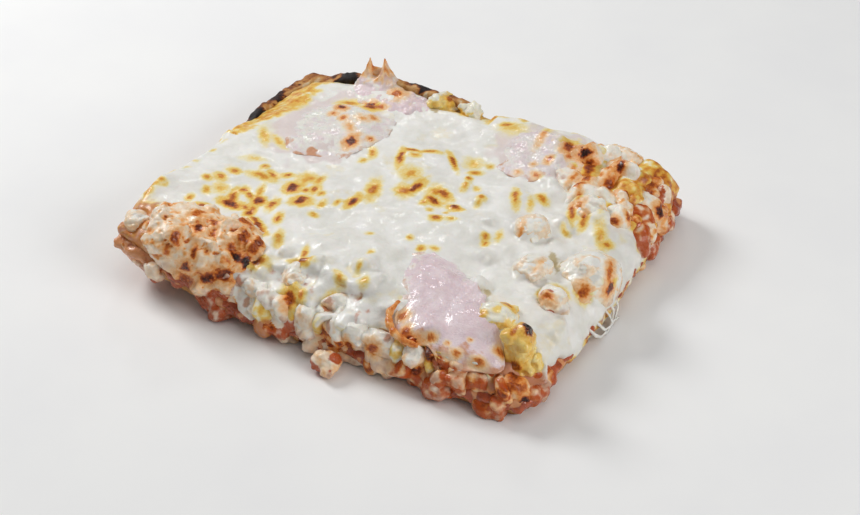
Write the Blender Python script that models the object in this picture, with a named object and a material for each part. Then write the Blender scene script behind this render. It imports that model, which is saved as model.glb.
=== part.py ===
"""A rectangular slice of pan pizza: crust, tomato sauce, a melted cheese blanket, ham and chopped toppings.

Metres, +Z up. The slice lies on z = 0. +X runs along its long side and -Y faces the cut side
that shows the most toppings. Sizes below are in millimetres and are scaled once, at the end.
"""

import math

import bmesh
import bpy
from mathutils import Euler, Vector, noise

MM = 0.001

# The slice as a whole.
HALF_LENGTH = 81.0
HALF_WIDTH = 66.0
CORNER_ROUNDING = 0.07
GAP = 0.35

# Crust: a flat base with a raised, scorched rim along the back and the rear of the left side.
BASE_THICK = 6.0
RIM_BACK = 24.0
RIM_LEFT = 18.5
RIM_WIDTH = 7.0
EDGE_STEPS_X = 19
EDGE_STEPS_Y = 16

# Layers over the crust.
SAUCE_THICK = 2.0
BLANK_FLOOR = 3.0
CHEESE_TOP = 20.0
CHEESE_DOME = 2.0
CHEESE_GRID_X = 27
CHEESE_GRID_Y = 21
RIPPLE_HEIGHT = 0.9
RIPPLE_SPAN = 11.0

# The front left corner curls up from the surface past a straight fold line.
CURL_START = Vector((-24.0, -64.0))
CURL_TOWARDS = Vector((-0.75, -0.66)).normalized()
CURL_REACH = 45.0
CURL_LIFT = 11.0
CURL_FOLDS = 6

# Lumps that toppings make under the cheese: x, y, radius, height.
LUMPS = (
    (-12.0, -41.0, 8.0, 2.6),
    (4.0, -35.0, 9.0, 2.6),
    (13.0, -43.0, 11.0, 3.0),
    (0.0, -51.0, 6.5, 2.6),
    (20.0, -53.0, 6.5, 2.4),
    (-4.0, 21.0, 11.0, 3.0),
    (38.0, 16.0, 7.5, 3.0),
    (60.0, 24.0, 8.0, 2.4),
    (54.0, 50.0, 7.0, 2.2),
    (-22.0, -8.0, 10.0, 1.6),
    (-62.0, -20.0, 11.0, 2.2),
    (-58.0, 4.0, 12.0, 1.8),
    (-28.0, -28.0, 9.0, 1.8),
    (-40.0, 30.0, 17.0, 1.6),
    (30.0, 44.0, 15.0, 1.6),
    (26.0, -8.0, 12.0, 1.4),
    (44.0, -22.0, 8.0, -2.0),
    (-28.0, 8.0, 9.0, -1.2),
    (14.0, 6.0, 10.0, -1.0),
    (-80.0, 11.0, 7.0, 2.4),
    (-79.0, -40.0, 6.0, 2.6),
    (70.0, 10.0, 9.0, -2.2),
    (-82.0, -54.0, 15.0, -6.0),
    (-82.0, 68.0, 22.0, -7.5),
)

# Chopped chicken: x, y, z of the middle, length, depth, height, turn in degrees, ball steps.
CHICKEN = {
    "chicken_browned": (-48.5, -53.5, 14.0, 38.0, 27.5, 22.0, 8, 3),
    "chicken_left": (-74.5, -58.0, 12.0, 10.0, 13.0, 12.0, 15, 2),
    "chicken_left_low": (-62.0, -68.0, 3.5, 8.5, 6.5, 8.5, -15, 2),
    "chicken_front_pale": (-22.5, -62.5, 11.5, 10.0, 9.0, 15.0, 12, 2),
    "chicken_front_cap": (-12.0, -53.5, 17.5, 11.5, 11.0, 12.0, 25, 2),
    "chicken_front_long": (-1.5, -64.5, 10.0, 11.5, 9.0, 17.0, -10, 2),
    "chicken_front_pink": (7.5, -58.0, 14.5, 10.5, 9.0, 13.0, 15, 2),
    "chicken_spilled": (10.5, -73.0, 3.8, 12.0, 10.0, 8.0, 10, 2),
    "chicken_front_smooth": (17.0, -65.0, 12.0, 11.0, 8.5, 14.0, -5, 2),
    "chicken_front_wide": (27.5, -64.5, 11.0, 13.0, 9.5, 14.0, 8, 2),
    "chicken_stringy": (39.5, -64.5, 11.0, 10.0, 8.0, 13.0, -12, 2),
    "chicken_under_ham": (51.5, -63.5, 12.5, 12.0, 7.5, 9.0, 5, 2),
    "chicken_low": (49.5, -68.5, 4.7, 12.0, 8.0, 9.0, -6, 2),
    "chicken_pinkish": (62.5, -64.0, 10.0, 11.5, 8.0, 9.5, 0, 2),
    "chicken_corner": (74.5, -61.5, 9.5, 12.0, 10.0, 10.5, 20, 2),
    "chicken_red_top": (71.0, -26.5, 18.5, 10.5, 11.0, 12.0, 30, 2),
    "chicken_right": (72.5, -4.0, 15.5, 18.0, 19.0, 15.0, -20, 2),
    "chicken_mid_a": (49.0, 3.0, 21.0, 11.5, 10.5, 9.5, 30, 2),
    "chicken_mid_b": (60.0, -12.5, 20.0, 11.0, 12.0, 10.0, -15, 2),
    "chicken_mid_c": (59.5, 24.5, 19.0, 13.0, 11.5, 10.5, 10, 2),
    "chicken_back_a": (69.0, 35.0, 17.0, 10.0, 12.0, 11.0, 40, 2),
    "chicken_back_b": (57.0, 60.5, 18.5, 21.0, 12.0, 14.0, -8, 2),
    "chicken_back_c": (72.0, 50.5, 16.5, 11.0, 11.0, 10.5, 25, 2),
    "chicken_back_d": (79.0, 45.0, 11.0, 9.0, 11.0, 11.0, 10, 2),
}

# Yellow fruit pieces, by the same measures.
FRUIT = {
    "fruit_charred": (71.5, -51.5, 18.0, 9.5, 9.0, 18.0, -20, 2),
    "fruit_speck": (77.5, -51.5, 14.5, 5.4, 6.0, 9.0, 10, 2),
    "fruit_ham_side": (59.5, -44.0, 20.5, 13.0, 11.0, 9.0, 25, 2),
    "fruit_back": (-17.0, 61.0, 21.0, 11.0, 10.0, 9.5, 15, 2),
    "fruit_back_small": (-5.0, 61.0, 20.0, 10.5, 8.0, 8.5, -12, 2),
}

# Ham: x, y of the middle, half length, half width, turn in degrees, lobe depth.
HAM_THICK = 1.8
HAM_SUNK = 0.8
HAM_RINGS = 3
HAM_SPOKES = 18
HAM = {
    "ham_front": (42.0, -44.0, 28.0, 18.0, -40, 0.05),
    "ham_back_left": (-45.0, 25.0, 21.0, 19.0, 15, 0.06),
    "ham_back_peak": (-36.0, 54.0, 17.0, 9.5, -4, 0.05),
    "ham_back_right": (31.0, 47.0, 20.0, 17.5, 20, 0.07),
}
# Where a ham slice stands up in a crisp tip: x, y, radius, height.
HAM_PEAKS = ((-49.5, 62.0, 4.6, 12.0), (-43.0, 63.0, 3.6, 11.5), (24.0, 63.0, 6.0, 2.5))

# The part's origin is under the middle of its box.
CENTRE_SHIFT = Vector((-0.03, -4.86, 0.0))

COLOURS = {
    "crust": ((0.55, 0.30, 0.12, 1.0), 0.8),
    "sauce": ((0.45, 0.08, 0.02, 1.0), 0.3),
    "cheese": ((0.78, 0.74, 0.60, 1.0), 0.35),
    "ham": ((0.68, 0.47, 0.44, 1.0), 0.35),
    "chicken": ((0.66, 0.48, 0.32, 1.0), 0.45),
    "fruit": ((0.70, 0.48, 0.14, 1.0), 0.4),
}


def smooth_step(low, high, value):
    """0 below low, 1 above high, and an even S between them."""
    share = min(1.0, max(0.0, (value - low) / (high - low)))
    return share * share * (3.0 - 2.0 * share)


def wave(x, y, span, seed):
    """An even, seeded ripple of about -1 to 1 that changes over span millimetres."""
    return noise.noise(Vector((x / span, y / span, seed)))


def place(u, v):
    """A point of the slice's outline square, -1 to 1 each way, as x and y on the real slice."""
    round_x = math.sqrt(1.0 - CORNER_ROUNDING * abs(v) ** 8)
    round_y = math.sqrt(1.0 - CORNER_ROUNDING * abs(u) ** 8)
    x = HALF_LENGTH * u * round_x
    y = HALF_WIDTH * v * round_y
    edge = max(abs(u), abs(v)) ** 4
    x += 1.6 * edge * wave(y, 0.0, 17.0, 3.1) * abs(u)
    y += 1.6 * edge * wave(x, 0.0, 15.0, 7.7) * abs(v)
    return x, y


def rim_share(x, y):
    """1 where the crust has its raised rim, 0 along the cut sides."""
    back = smooth_step(50.0, 60.0, y) * smooth_step(8.0, -6.0, x)
    left = smooth_step(-66.0, -74.0, x) * smooth_step(8.0, 22.0, y)
    return max(back, left)


def from_rim(x, y):
    """How far round the outline this place is from the crust's raised rim."""
    if y > 30.0:
        return max(0.0, x - 8.0)
    if x < -50.0:
        return max(0.0, 8.0 - y)
    return 99.0


def rim_height(x, y):
    """The height of the crust's edge, from the flat base to the top of the rim."""
    tall = RIM_LEFT + (RIM_BACK - RIM_LEFT) * smooth_step(-72.0, -42.0, x)
    uneven = 1.0 + 0.12 * wave(x, y, 8.0, 5.5)
    return BASE_THICK + (tall - BASE_THICK) * uneven * rim_share(x, y)


def crust_bulge(x, y):
    """How far the crust's side stands out from the outline."""
    return 0.7 * wave(x, y, 6.0, 9.1) - 0.2 + 1.0 * rim_share(x, y)


def curl_lift(x, y):
    """How far the curled corner is lifted at this place."""
    past = (Vector((x, y)) - CURL_START).dot(CURL_TOWARDS)
    return CURL_LIFT * smooth_step(0.0, CURL_REACH, past)


def drape_share(x, y):
    """1 where the cheese hangs down over the cut edge on the right."""
    return smooth_step(70.0, 76.0, x) * smooth_step(-41.0, -34.0, y) * smooth_step(34.0, 24.0, y)


def cheese_height(x, y):
    """The height of the cheese over the surface that the slice lies on."""
    height = CHEESE_TOP + CHEESE_DOME * (1 - (x / 80.0) ** 2) * (1 - (y / 65.0) ** 2)
    for lump_x, lump_y, radius, rise in LUMPS:
        away = ((x - lump_x) ** 2 + (y - lump_y) ** 2) / radius**2
        height += rise * math.exp(-away)
    height += RIPPLE_HEIGHT * wave(x, y, RIPPLE_SPAN, 1.3)
    height -= 6.0 * smooth_step(68.0, 82.0, x)
    height -= 4.5 * smooth_step(-51.0, -66.0, y)
    height += 1.0 * smooth_step(-60.0, -76.0, x) * (1 - rim_share(x, y))
    height += 2.0 * smooth_step(40.0, 60.0, y)
    return height


def square_edge(steps_x, steps_y):
    """The points around the outline square, anticlockwise from its front left corner."""
    along_x = [2.0 * i / steps_x - 1.0 for i in range(steps_x)]
    along_y = [2.0 * i / steps_y - 1.0 for i in range(steps_y)]
    points = [(t, -1.0) for t in along_x] + [(1.0, t) for t in along_y]
    points += [(-t, 1.0) for t in along_x] + [(-1.0, -t) for t in along_y]
    return points


def add_ring(bm, outline, row):
    """One ring of points: row gives how far each stands out from the outline, and its height."""
    ring = []
    for x, y in outline:
        out, height = row(x, y)
        across = x * (1 + out / HALF_LENGTH)
        along = y * (1 + out / HALF_WIDTH)
        ring.append(bm.verts.new((across, along, height)))
    return ring


def bridge(bm, lower, upper):
    """The band of faces between two rings that have the same number of points."""
    count = len(lower)
    for i in range(count):
        after = (i + 1) % count
        bm.faces.new((lower[i], lower[after], upper[after], upper[i]))


def curl(bm):
    """Folds the faces along lines across the front left corner and lifts the corner."""
    towards = Vector((CURL_TOWARDS.x, CURL_TOWARDS.y, 0.0))
    for fold in range(CURL_FOLDS + 1):
        at = CURL_START + CURL_TOWARDS * (CURL_REACH * fold / CURL_FOLDS)
        whole = list(bm.verts) + list(bm.edges) + [f for f in bm.faces if len(f.verts) > 6]
        bmesh.ops.bisect_plane(bm, geom=whole, plane_co=(at.x, at.y, 0.0), plane_no=towards)
    for vert in bm.verts:
        vert.co.z += curl_lift(vert.co.x, vert.co.y)


def to_object(name, bm, kind):
    """The finished bmesh as an object of the slice, with its material."""
    curl(bm)
    bmesh.ops.triangulate(bm, faces=bm.faces)
    bmesh.ops.recalc_face_normals(bm, faces=bm.faces)
    mesh = bpy.data.meshes.new(name)
    bm.to_mesh(mesh)
    bm.free()
    obj = bpy.data.objects.new(name, mesh)
    slice_parts.objects.link(obj)
    obj.data.materials.append(finishes[kind])
    return obj


def make_crust():
    """The baked base, flat underneath, with its rim, from rings that follow the outline."""
    outline = [place(u, v) for u, v in square_edge(EDGE_STEPS_X, EDGE_STEPS_Y)]

    def inner(x, y):
        return -1.2 - 0.5 * RIM_WIDTH * rim_share(x, y)

    rows = (
        lambda x, y: (-0.8, 0.0),
        lambda x, y: (crust_bulge(x, y), 1.3),
        lambda x, y: (crust_bulge(x, y) + 0.3, 0.6 * rim_height(x, y)),
        lambda x, y: (-0.9, rim_height(x, y) - 0.3),
        lambda x, y: (inner(x, y), rim_height(x, y)),
        lambda x, y: (-RIM_WIDTH, BASE_THICK),
    )
    bm = bmesh.new()
    rings = [add_ring(bm, outline, row) for row in rows]
    for lower, upper in zip(rings, rings[1:]):
        bridge(bm, lower, upper)
    bm.faces.new(rings[0])
    bm.faces.new(rings[-1])
    return to_object("crust", bm, "crust")


def make_sauce():
    """The tomato sauce over the base, which runs down the cut sides where no cheese covers it."""
    outline = [place(u, v) for u, v in square_edge(EDGE_STEPS_X, EDGE_STEPS_Y)]
    floor = BASE_THICK + GAP
    top = floor + SAUCE_THICK

    def side(x, y):
        held = -RIM_WIDTH - 3.0
        free = crust_bulge(x, y) + 0.5 + GAP
        return held + (free - held) * smooth_step(9.0, 17.0, from_rim(x, y))

    def drip(x, y):
        runs = 0.5 + 0.5 * wave(x, y, 8.0, 4.4)
        share = smooth_step(25.0, 33.0, from_rim(x, y)) * (1 - 0.7 * drape_share(x, y))
        return floor - share * (1.0 + 4.0 * runs)

    def fat(x, y):
        return 1.1 + 0.5 * wave(x, y, 5.0, 2.2)

    rows = (
        lambda x, y: (side(x, y) - 1.0, top),
        lambda x, y: (side(x, y) + fat(x, y), 0.9 * floor + 0.1 * drip(x, y)),
        lambda x, y: (side(x, y) + 0.5 * fat(x, y), drip(x, y) - 0.3),
        lambda x, y: (side(x, y), drip(x, y)),
        lambda x, y: (side(x, y) - 0.4, floor),
    )
    bm = bmesh.new()
    rings = [add_ring(bm, outline, row) for row in rows]
    for lower, upper in zip(rings, rings[1:]):
        bridge(bm, lower, upper)
    bm.faces.new(rings[0])
    bm.faces.new(rings[-1])
    return to_object("sauce", bm, "sauce")


def make_cheese():
    """The melted blanket: a lumpy top grid, sides that bulge and sag, and a hanging lip."""
    bm = bmesh.new()
    grid = {}
    for i in range(CHEESE_GRID_X + 1):
        for j in range(CHEESE_GRID_Y + 1):
            x, y = place(2.0 * i / CHEESE_GRID_X - 1.0, 2.0 * j / CHEESE_GRID_Y - 1.0)
            x *= 0.965
            y *= 0.96
            grid[i, j] = bm.verts.new((x, y, cheese_height(x, y)))
    for i in range(CHEESE_GRID_X):
        for j in range(CHEESE_GRID_Y):
            corners = ((i, j), (i + 1, j), (i + 1, j + 1), (i, j + 1))
            bm.faces.new([grid[c] for c in corners])
    edge = [(i, 0) for i in range(CHEESE_GRID_X)]
    edge += [(CHEESE_GRID_X, j) for j in range(CHEESE_GRID_Y)]
    edge += [(i, CHEESE_GRID_Y) for i in range(CHEESE_GRID_X, 0, -1)]
    edge += [(0, j) for j in range(CHEESE_GRID_Y, 0, -1)]
    rim = [grid[c] for c in edge]
    outline = [(v.co.x, v.co.y) for v in rim]
    under = BASE_THICK + GAP + SAUCE_THICK

    def belly(x, y):
        plump = 2.4 + 1.3 * wave(x, y, 7.0, 6.6) + 2.2 * drape_share(x, y)
        return plump - 5.0 * rim_share(x, y)

    def hem(x, y):
        sag = smooth_step(0.1, 0.7, wave(x, y, 6.0, 8.8)) * (1 - rim_share(x, y))
        low = under + 0.2 - 3.0 * sag
        return low + (3.4 - low) * drape_share(x, y)

    rows = (
        lambda x, y: (belly(x, y) + 0.4, 0.45 * hem(x, y) + 0.55 * cheese_height(x, y)),
        lambda x, y: (belly(x, y) + 0.2, hem(x, y)),
        lambda x, y: (-4.0, hem(x, y)),
        lambda x, y: (-7.0, BLANK_FLOOR),
    )
    rings = [rim] + [add_ring(bm, outline, row) for row in rows]
    for upper, lower in zip(rings, rings[1:]):
        bridge(bm, lower, upper)
    bm.faces.new(rings[-1])
    return to_object("cheese", bm, "cheese")


def make_chunk(name, measures, kind):
    """One chopped piece: a ball pushed towards a rounded block and roughened."""
    x, y, z, length, depth, height, turn, steps = measures
    half = Vector((length, depth, height)) / 2
    turned = Euler((0.1 * math.sin(turn), 0.12 * math.cos(turn), math.radians(turn))).to_matrix()
    bm = bmesh.new()
    bmesh.ops.create_icosphere(bm, subdivisions=steps, radius=1.0)
    for vert in bm.verts:
        way = vert.co.normalized()
        block = sum(abs(part) ** 3.0 for part in way) ** (-1 / 3.0)
        rough = 1.0 + 0.13 * noise.noise(way * 1.9 + Vector((x, y, z)))
        local = Vector((way.x * half.x, way.y * half.y, way.z * half.z)) * block * rough * 0.94
        vert.co = turned @ local + Vector((x, y, z))
        vert.co.z = max(vert.co.z, 0.0)
    return to_object(name, bm, kind)


def make_ham(name, measures):
    """One thin slice of ham, draped on the cheese and sunk a little into it."""
    x, y, half_length, half_width, turn, lobes = measures
    angle = math.radians(turn)
    bm = bmesh.new()

    def lay(share, spoke, under):
        around = 2 * math.pi * spoke / HAM_SPOKES
        wobble = 1 + lobes * (math.sin(3 * around + x) + 0.6 * math.sin(5 * around + y))
        far = share * wobble
        a = half_length * math.cos(around) * far
        b = half_width * math.sin(around) * far
        px = x + a * math.cos(angle) - b * math.sin(angle)
        py = y + a * math.sin(angle) + b * math.cos(angle)
        height = cheese_height(px, py) - HAM_SUNK
        for peak_x, peak_y, radius, rise in HAM_PEAKS:
            away = ((px - peak_x) ** 2 + (py - peak_y) ** 2) / radius**2
            height += rise * math.exp(-away) * (1 if under is False else 0.92)
        thick = HAM_THICK * (1 - 0.35 * share**4)
        return px, py, height + (0 if under else thick)

    layers = []
    for under in (False, True):
        rings = [[bm.verts.new(lay(0.0, 0, under))]]
        for ring in range(1, HAM_RINGS + 1):
            share = ring / HAM_RINGS
            rings.append([bm.verts.new(lay(share, s, under)) for s in range(HAM_SPOKES)])
        for spoke in range(HAM_SPOKES):
            after = (spoke + 1) % HAM_SPOKES
            bm.faces.new((rings[0][0], rings[1][spoke], rings[1][after]))
        for inner, outer in zip(rings[1:], rings[2:]):
            bridge(bm, inner, outer)
        layers.append(rings[-1])
    bridge(bm, layers[1], layers[0])
    return to_object(name, bm, "ham")


def grown_copy(obj, gap):
    """A cutter of the same shape, larger by the gap all over."""
    bm = bmesh.new()
    bm.from_mesh(obj.data)
    bm.normal_update()
    steps = [(v, v.normal * gap * min(2.0, v.calc_shell_factor())) for v in bm.verts]
    for vert, step in steps:
        vert.co += step
    mesh = bpy.data.meshes.new("cutter_" + obj.name)
    bm.to_mesh(mesh)
    bm.free()
    cutter = bpy.data.objects.new("cutter_" + obj.name, mesh)
    cutter.hide_render = True
    cutter.display_type = "WIRE"
    cutters.objects.link(cutter)
    return cutter


def box_of(obj):
    """The lowest and highest corner of a mesh."""
    places = [v.co for v in obj.data.vertices]
    low = Vector([min(p[k] for p in places) for k in range(3)])
    high = Vector([max(p[k] for p in places) for k in range(3)])
    return low, high


def near(a, b):
    """True where the boxes of two meshes meet."""
    (low_a, high_a), (low_b, high_b) = box_of(a), box_of(b)
    return all(low_a[k] < high_b[k] and low_b[k] < high_a[k] for k in range(3))


def carve(obj, others):
    """Cuts the room of the other pieces out of obj, with the gap round each, and keeps the largest body."""
    group = bpy.data.collections.new("room_in_" + obj.name)
    for cutter in others:
        if near(obj, cutter):
            group.objects.link(cutter)
    if not group.objects:
        return
    cut = obj.modifiers.new("room", "BOOLEAN")
    cut.operation = "DIFFERENCE"
    cut.operand_type = "COLLECTION"
    cut.collection = group
    cut.solver = "EXACT"
    bpy.context.view_layer.update()
    graph = bpy.context.evaluated_depsgraph_get()
    mesh = bpy.data.meshes.new_from_object(obj.evaluated_get(graph))
    obj.modifiers.clear()
    obj.data = mesh
    keep_largest(obj)


def keep_largest(obj):
    """Drops the loose scraps that a cut leaves and merges its flat neighbours."""
    bm = bmesh.new()
    bm.from_mesh(obj.data)
    bmesh.ops.remove_doubles(bm, verts=bm.verts, dist=0.001)
    unseen = set(bm.faces)
    bodies = []
    while unseen:
        body, front = set(), [unseen.pop()]
        while front:
            face = front.pop()
            body.add(face)
            for edge in face.edges:
                for other in edge.link_faces:
                    if other in unseen:
                        unseen.discard(other)
                        front.append(other)
        bodies.append(body)
    bodies.sort(key=lambda body: sum(f.calc_area() for f in body))
    scraps = [face for body in bodies[:-1] for face in body]
    bmesh.ops.delete(bm, geom=scraps, context="FACES")
    merged = bm.copy()
    flat = math.radians(0.2)
    bmesh.ops.dissolve_limit(merged, angle_limit=flat, verts=merged.verts, edges=merged.edges)
    bmesh.ops.triangulate(merged, faces=merged.faces)
    if all(edge.is_manifold for edge in merged.edges):
        merged.to_mesh(obj.data)
    else:
        bm.to_mesh(obj.data)
    merged.free()
    bm.free()


def centre_and_scale(obj):
    """Centres the slice over the origin, turns it to metres and shades it."""
    mesh = obj.data
    for vert in mesh.vertices:
        vert.co = (vert.co - CENTRE_SHIFT) * MM
    mesh.shade_smooth()
    mesh.set_sharp_from_angle(angle=math.radians(50))


def finish_of(kind):
    """The plain finish of one kind of piece."""
    colour, roughness = COLOURS[kind]
    material = bpy.data.materials.new(kind)
    material.use_nodes = True
    shader = material.node_tree.nodes["Principled BSDF"]
    shader.inputs["Base Color"].default_value = colour
    shader.inputs["Roughness"].default_value = roughness
    shader.inputs["Metallic"].default_value = 0.0
    return material


def build():
    """Makes every piece, cuts each clear of the ones below it and finishes the slice."""
    crust = make_crust()
    sauce = make_sauce()
    rooms = [grown_copy(crust, GAP), grown_copy(sauce, GAP)]
    pieces = [crust, sauce]
    for table, kind in ((FRUIT, "fruit"), (CHICKEN, "chicken")):
        for name, measures in table.items():
            chunk = make_chunk(name, measures, kind)
            carve(chunk, rooms)
            rooms.append(grown_copy(chunk, GAP))
            pieces.append(chunk)
    for name, measures in HAM.items():
        ham = make_ham(name, measures)
        carve(ham, rooms)
        rooms.append(grown_copy(ham, GAP))
        pieces.append(ham)
    cheese = make_cheese()
    carve(cheese, rooms)
    pieces.append(cheese)
    for cutter in list(cutters.objects):
        bpy.data.objects.remove(cutter)
    for piece in pieces:
        centre_and_scale(piece)


for leftover in list(bpy.data.objects):
    bpy.data.objects.remove(leftover)
slice_parts = bpy.data.collections.new("pizza_slice")
cutters = bpy.data.collections.new("cutters")
bpy.context.scene.collection.children.link(slice_parts)
bpy.context.scene.collection.children.link(cutters)
finishes = {kind: finish_of(kind) for kind in COLOURS}
build()
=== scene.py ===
"""Looks of a rectangular slice of pan pizza: crust, tomato sauce, melted cheese, ham and chopped toppings.

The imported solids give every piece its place. Shapes are worked out here in millimetres, in the frame that
the part was designed in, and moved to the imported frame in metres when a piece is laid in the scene.
"""

from __future__ import annotations

import logging
import math
from dataclasses import dataclass, field
from enum import Enum
from typing import Sequence

import bmesh
import bpy
import numpy as np
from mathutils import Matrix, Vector
from mathutils.bvhtree import BVHTree


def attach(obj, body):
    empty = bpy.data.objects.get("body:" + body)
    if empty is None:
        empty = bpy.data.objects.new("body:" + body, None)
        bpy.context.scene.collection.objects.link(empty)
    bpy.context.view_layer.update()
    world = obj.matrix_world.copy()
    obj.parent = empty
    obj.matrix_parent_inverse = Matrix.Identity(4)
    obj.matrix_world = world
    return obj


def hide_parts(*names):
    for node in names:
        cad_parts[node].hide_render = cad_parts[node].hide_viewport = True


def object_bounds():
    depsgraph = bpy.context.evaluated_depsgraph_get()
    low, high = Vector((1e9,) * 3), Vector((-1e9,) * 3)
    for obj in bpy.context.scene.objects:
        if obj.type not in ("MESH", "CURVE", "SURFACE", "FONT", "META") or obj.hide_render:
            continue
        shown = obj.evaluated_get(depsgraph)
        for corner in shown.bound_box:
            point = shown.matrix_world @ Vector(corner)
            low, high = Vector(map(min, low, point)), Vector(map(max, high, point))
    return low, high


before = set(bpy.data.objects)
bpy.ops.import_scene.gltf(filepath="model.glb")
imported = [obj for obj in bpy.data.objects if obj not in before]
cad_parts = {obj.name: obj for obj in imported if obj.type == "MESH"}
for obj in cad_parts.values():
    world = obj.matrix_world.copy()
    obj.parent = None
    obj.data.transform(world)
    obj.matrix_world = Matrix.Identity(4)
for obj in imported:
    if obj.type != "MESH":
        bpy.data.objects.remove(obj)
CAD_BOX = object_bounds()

log = logging.getLogger("pizza_slice")

MM = 0.001
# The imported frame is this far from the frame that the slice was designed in, in millimetres.
SHIFT = np.array((0.03, 4.86, 0.0))
# Where the photograph was taken from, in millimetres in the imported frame, and what it looks at.
EYE = np.array((294.25, -519.66, 452.43))
LOOKS_AT = np.array((11.19, 3.20, 0.0))
LENS = 87.05
SENSOR = 36.0
# Browned places are given by where they show on a level plane at this height.
LEVEL = 24.0
# The solids' box in the design frame, which the finished pieces stay close to.
BOX_LOW = np.array(CAD_BOX[0]) / MM - SHIFT
BOX_HIGH = np.array(CAD_BOX[1]) / MM - SHIFT
# Lower than any piece, as the underside needs no limit of its own.
FAR_BELOW = -9.0
# Higher than any piece, where rays that look for the surface start.
FAR_ABOVE = 60.0
# In front of and beside every piece, where rays that look for the sides start.
FAR_FRONT, FAR_LEFT, FAR_RIGHT = -110.0, -120.0, 120.0

Colour = tuple[float, float, float, float]
Way = tuple[float, float, float]


def linear(hex_code: str) -> Colour:
    """Turns an sRGB hex colour into the linear colour that a shader takes.

    Args:
        hex_code: six hex digits after a hash sign.

    Returns:
        Red, green, blue and an alpha of 1.
    """
    parts = [int(hex_code[i : i + 2], 16) / 255.0 for i in (1, 3, 5)]
    red, green, blue = (p / 12.92 if p <= 0.04045 else ((p + 0.055) / 1.055) ** 2.4 for p in parts)
    return (red, green, blue, 1.0)


def smooth_step(low: float, high: float, values: np.ndarray) -> np.ndarray:
    """Gives 0 at low, 1 at high and an even S between them.

    Args:
        low: value that gives 0.
        high: value that gives 1, which may lie below low.
        values: what is compared with them.

    Returns:
        A share for each value.
    """
    share = np.clip((values - low) / (high - low), 0.0, 1.0)
    return share * share * (3.0 - 2.0 * share)


def noise(points: np.ndarray, span: float | Sequence[float], seed: int) -> np.ndarray:
    """Smooth seeded noise of about -1 to 1.

    Args:
        points: places in millimetres.
        span: distance over which it changes, one for all three ways or one for each.
        seed: picks one pattern.

    Returns:
        One value for each point.
    """
    draw = np.random.default_rng(seed)
    order = draw.permutation(256)
    ways = draw.normal(size=(256, 3))
    ways /= np.linalg.norm(ways, axis=1)[:, None]
    scaled = points / np.asarray(span, float) + 97.3
    cell = np.floor(scaled).astype(int)
    part = scaled - cell
    fade = part**3 * (part * (part * 6.0 - 15.0) + 10.0)
    total = np.zeros(len(points))
    for corner in np.ndindex(2, 2, 2):
        step = np.array(corner)
        at = cell + step
        pick = order[(order[(order[at[:, 0] & 255] + at[:, 1]) & 255] + at[:, 2]) & 255]
        lean = ((part - step) * ways[pick]).sum(axis=1)
        weight = np.where(step == 1, fade, 1.0 - fade).prod(axis=1)
        total += weight * lean
    return 1.7 * total


def ridges(points: np.ndarray, span: float | Sequence[float], seed: int) -> np.ndarray:
    """Seeded creases: 1 along narrow ridge lines and down to about -1 between them."""
    return 1.0 - 3.2 * np.abs(noise(points, span, seed))


def add_node(
    tree: bpy.types.NodeTree,
    kind: str,
    settings: dict[str, object] | None = None,
    links: dict[str | int, object] | None = None,
) -> bpy.types.Node:
    """Adds one node with its settings and links.

    Args:
        tree: the material's or the world's nodes.
        kind: Blender's name of the node type.
        settings: values of the node itself; "stops" fills a colour ramp.
        links: for each input, an output socket to join or a value to set.

    Returns:
        The new node.
    """
    made = tree.nodes.new(kind)
    for name, value in (settings or {}).items():
        if name == "stops":
            ramp = made.color_ramp
            while len(ramp.elements) < len(value):
                ramp.elements.new(1.0)
            for element, (place, colour) in zip(ramp.elements, value):
                element.position = place
                element.color = linear(colour)
        else:
            setattr(made, name, value)
    for name, value in (links or {}).items():
        if isinstance(value, bpy.types.NodeSocket):
            tree.links.new(value, made.inputs[name])
        else:
            made.inputs[name].default_value = value
    return made


def per_mm(span: float) -> float:
    """The noise texture scale that gives a pattern of this size in millimetres."""
    return 1.0 / (span * MM)


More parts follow.
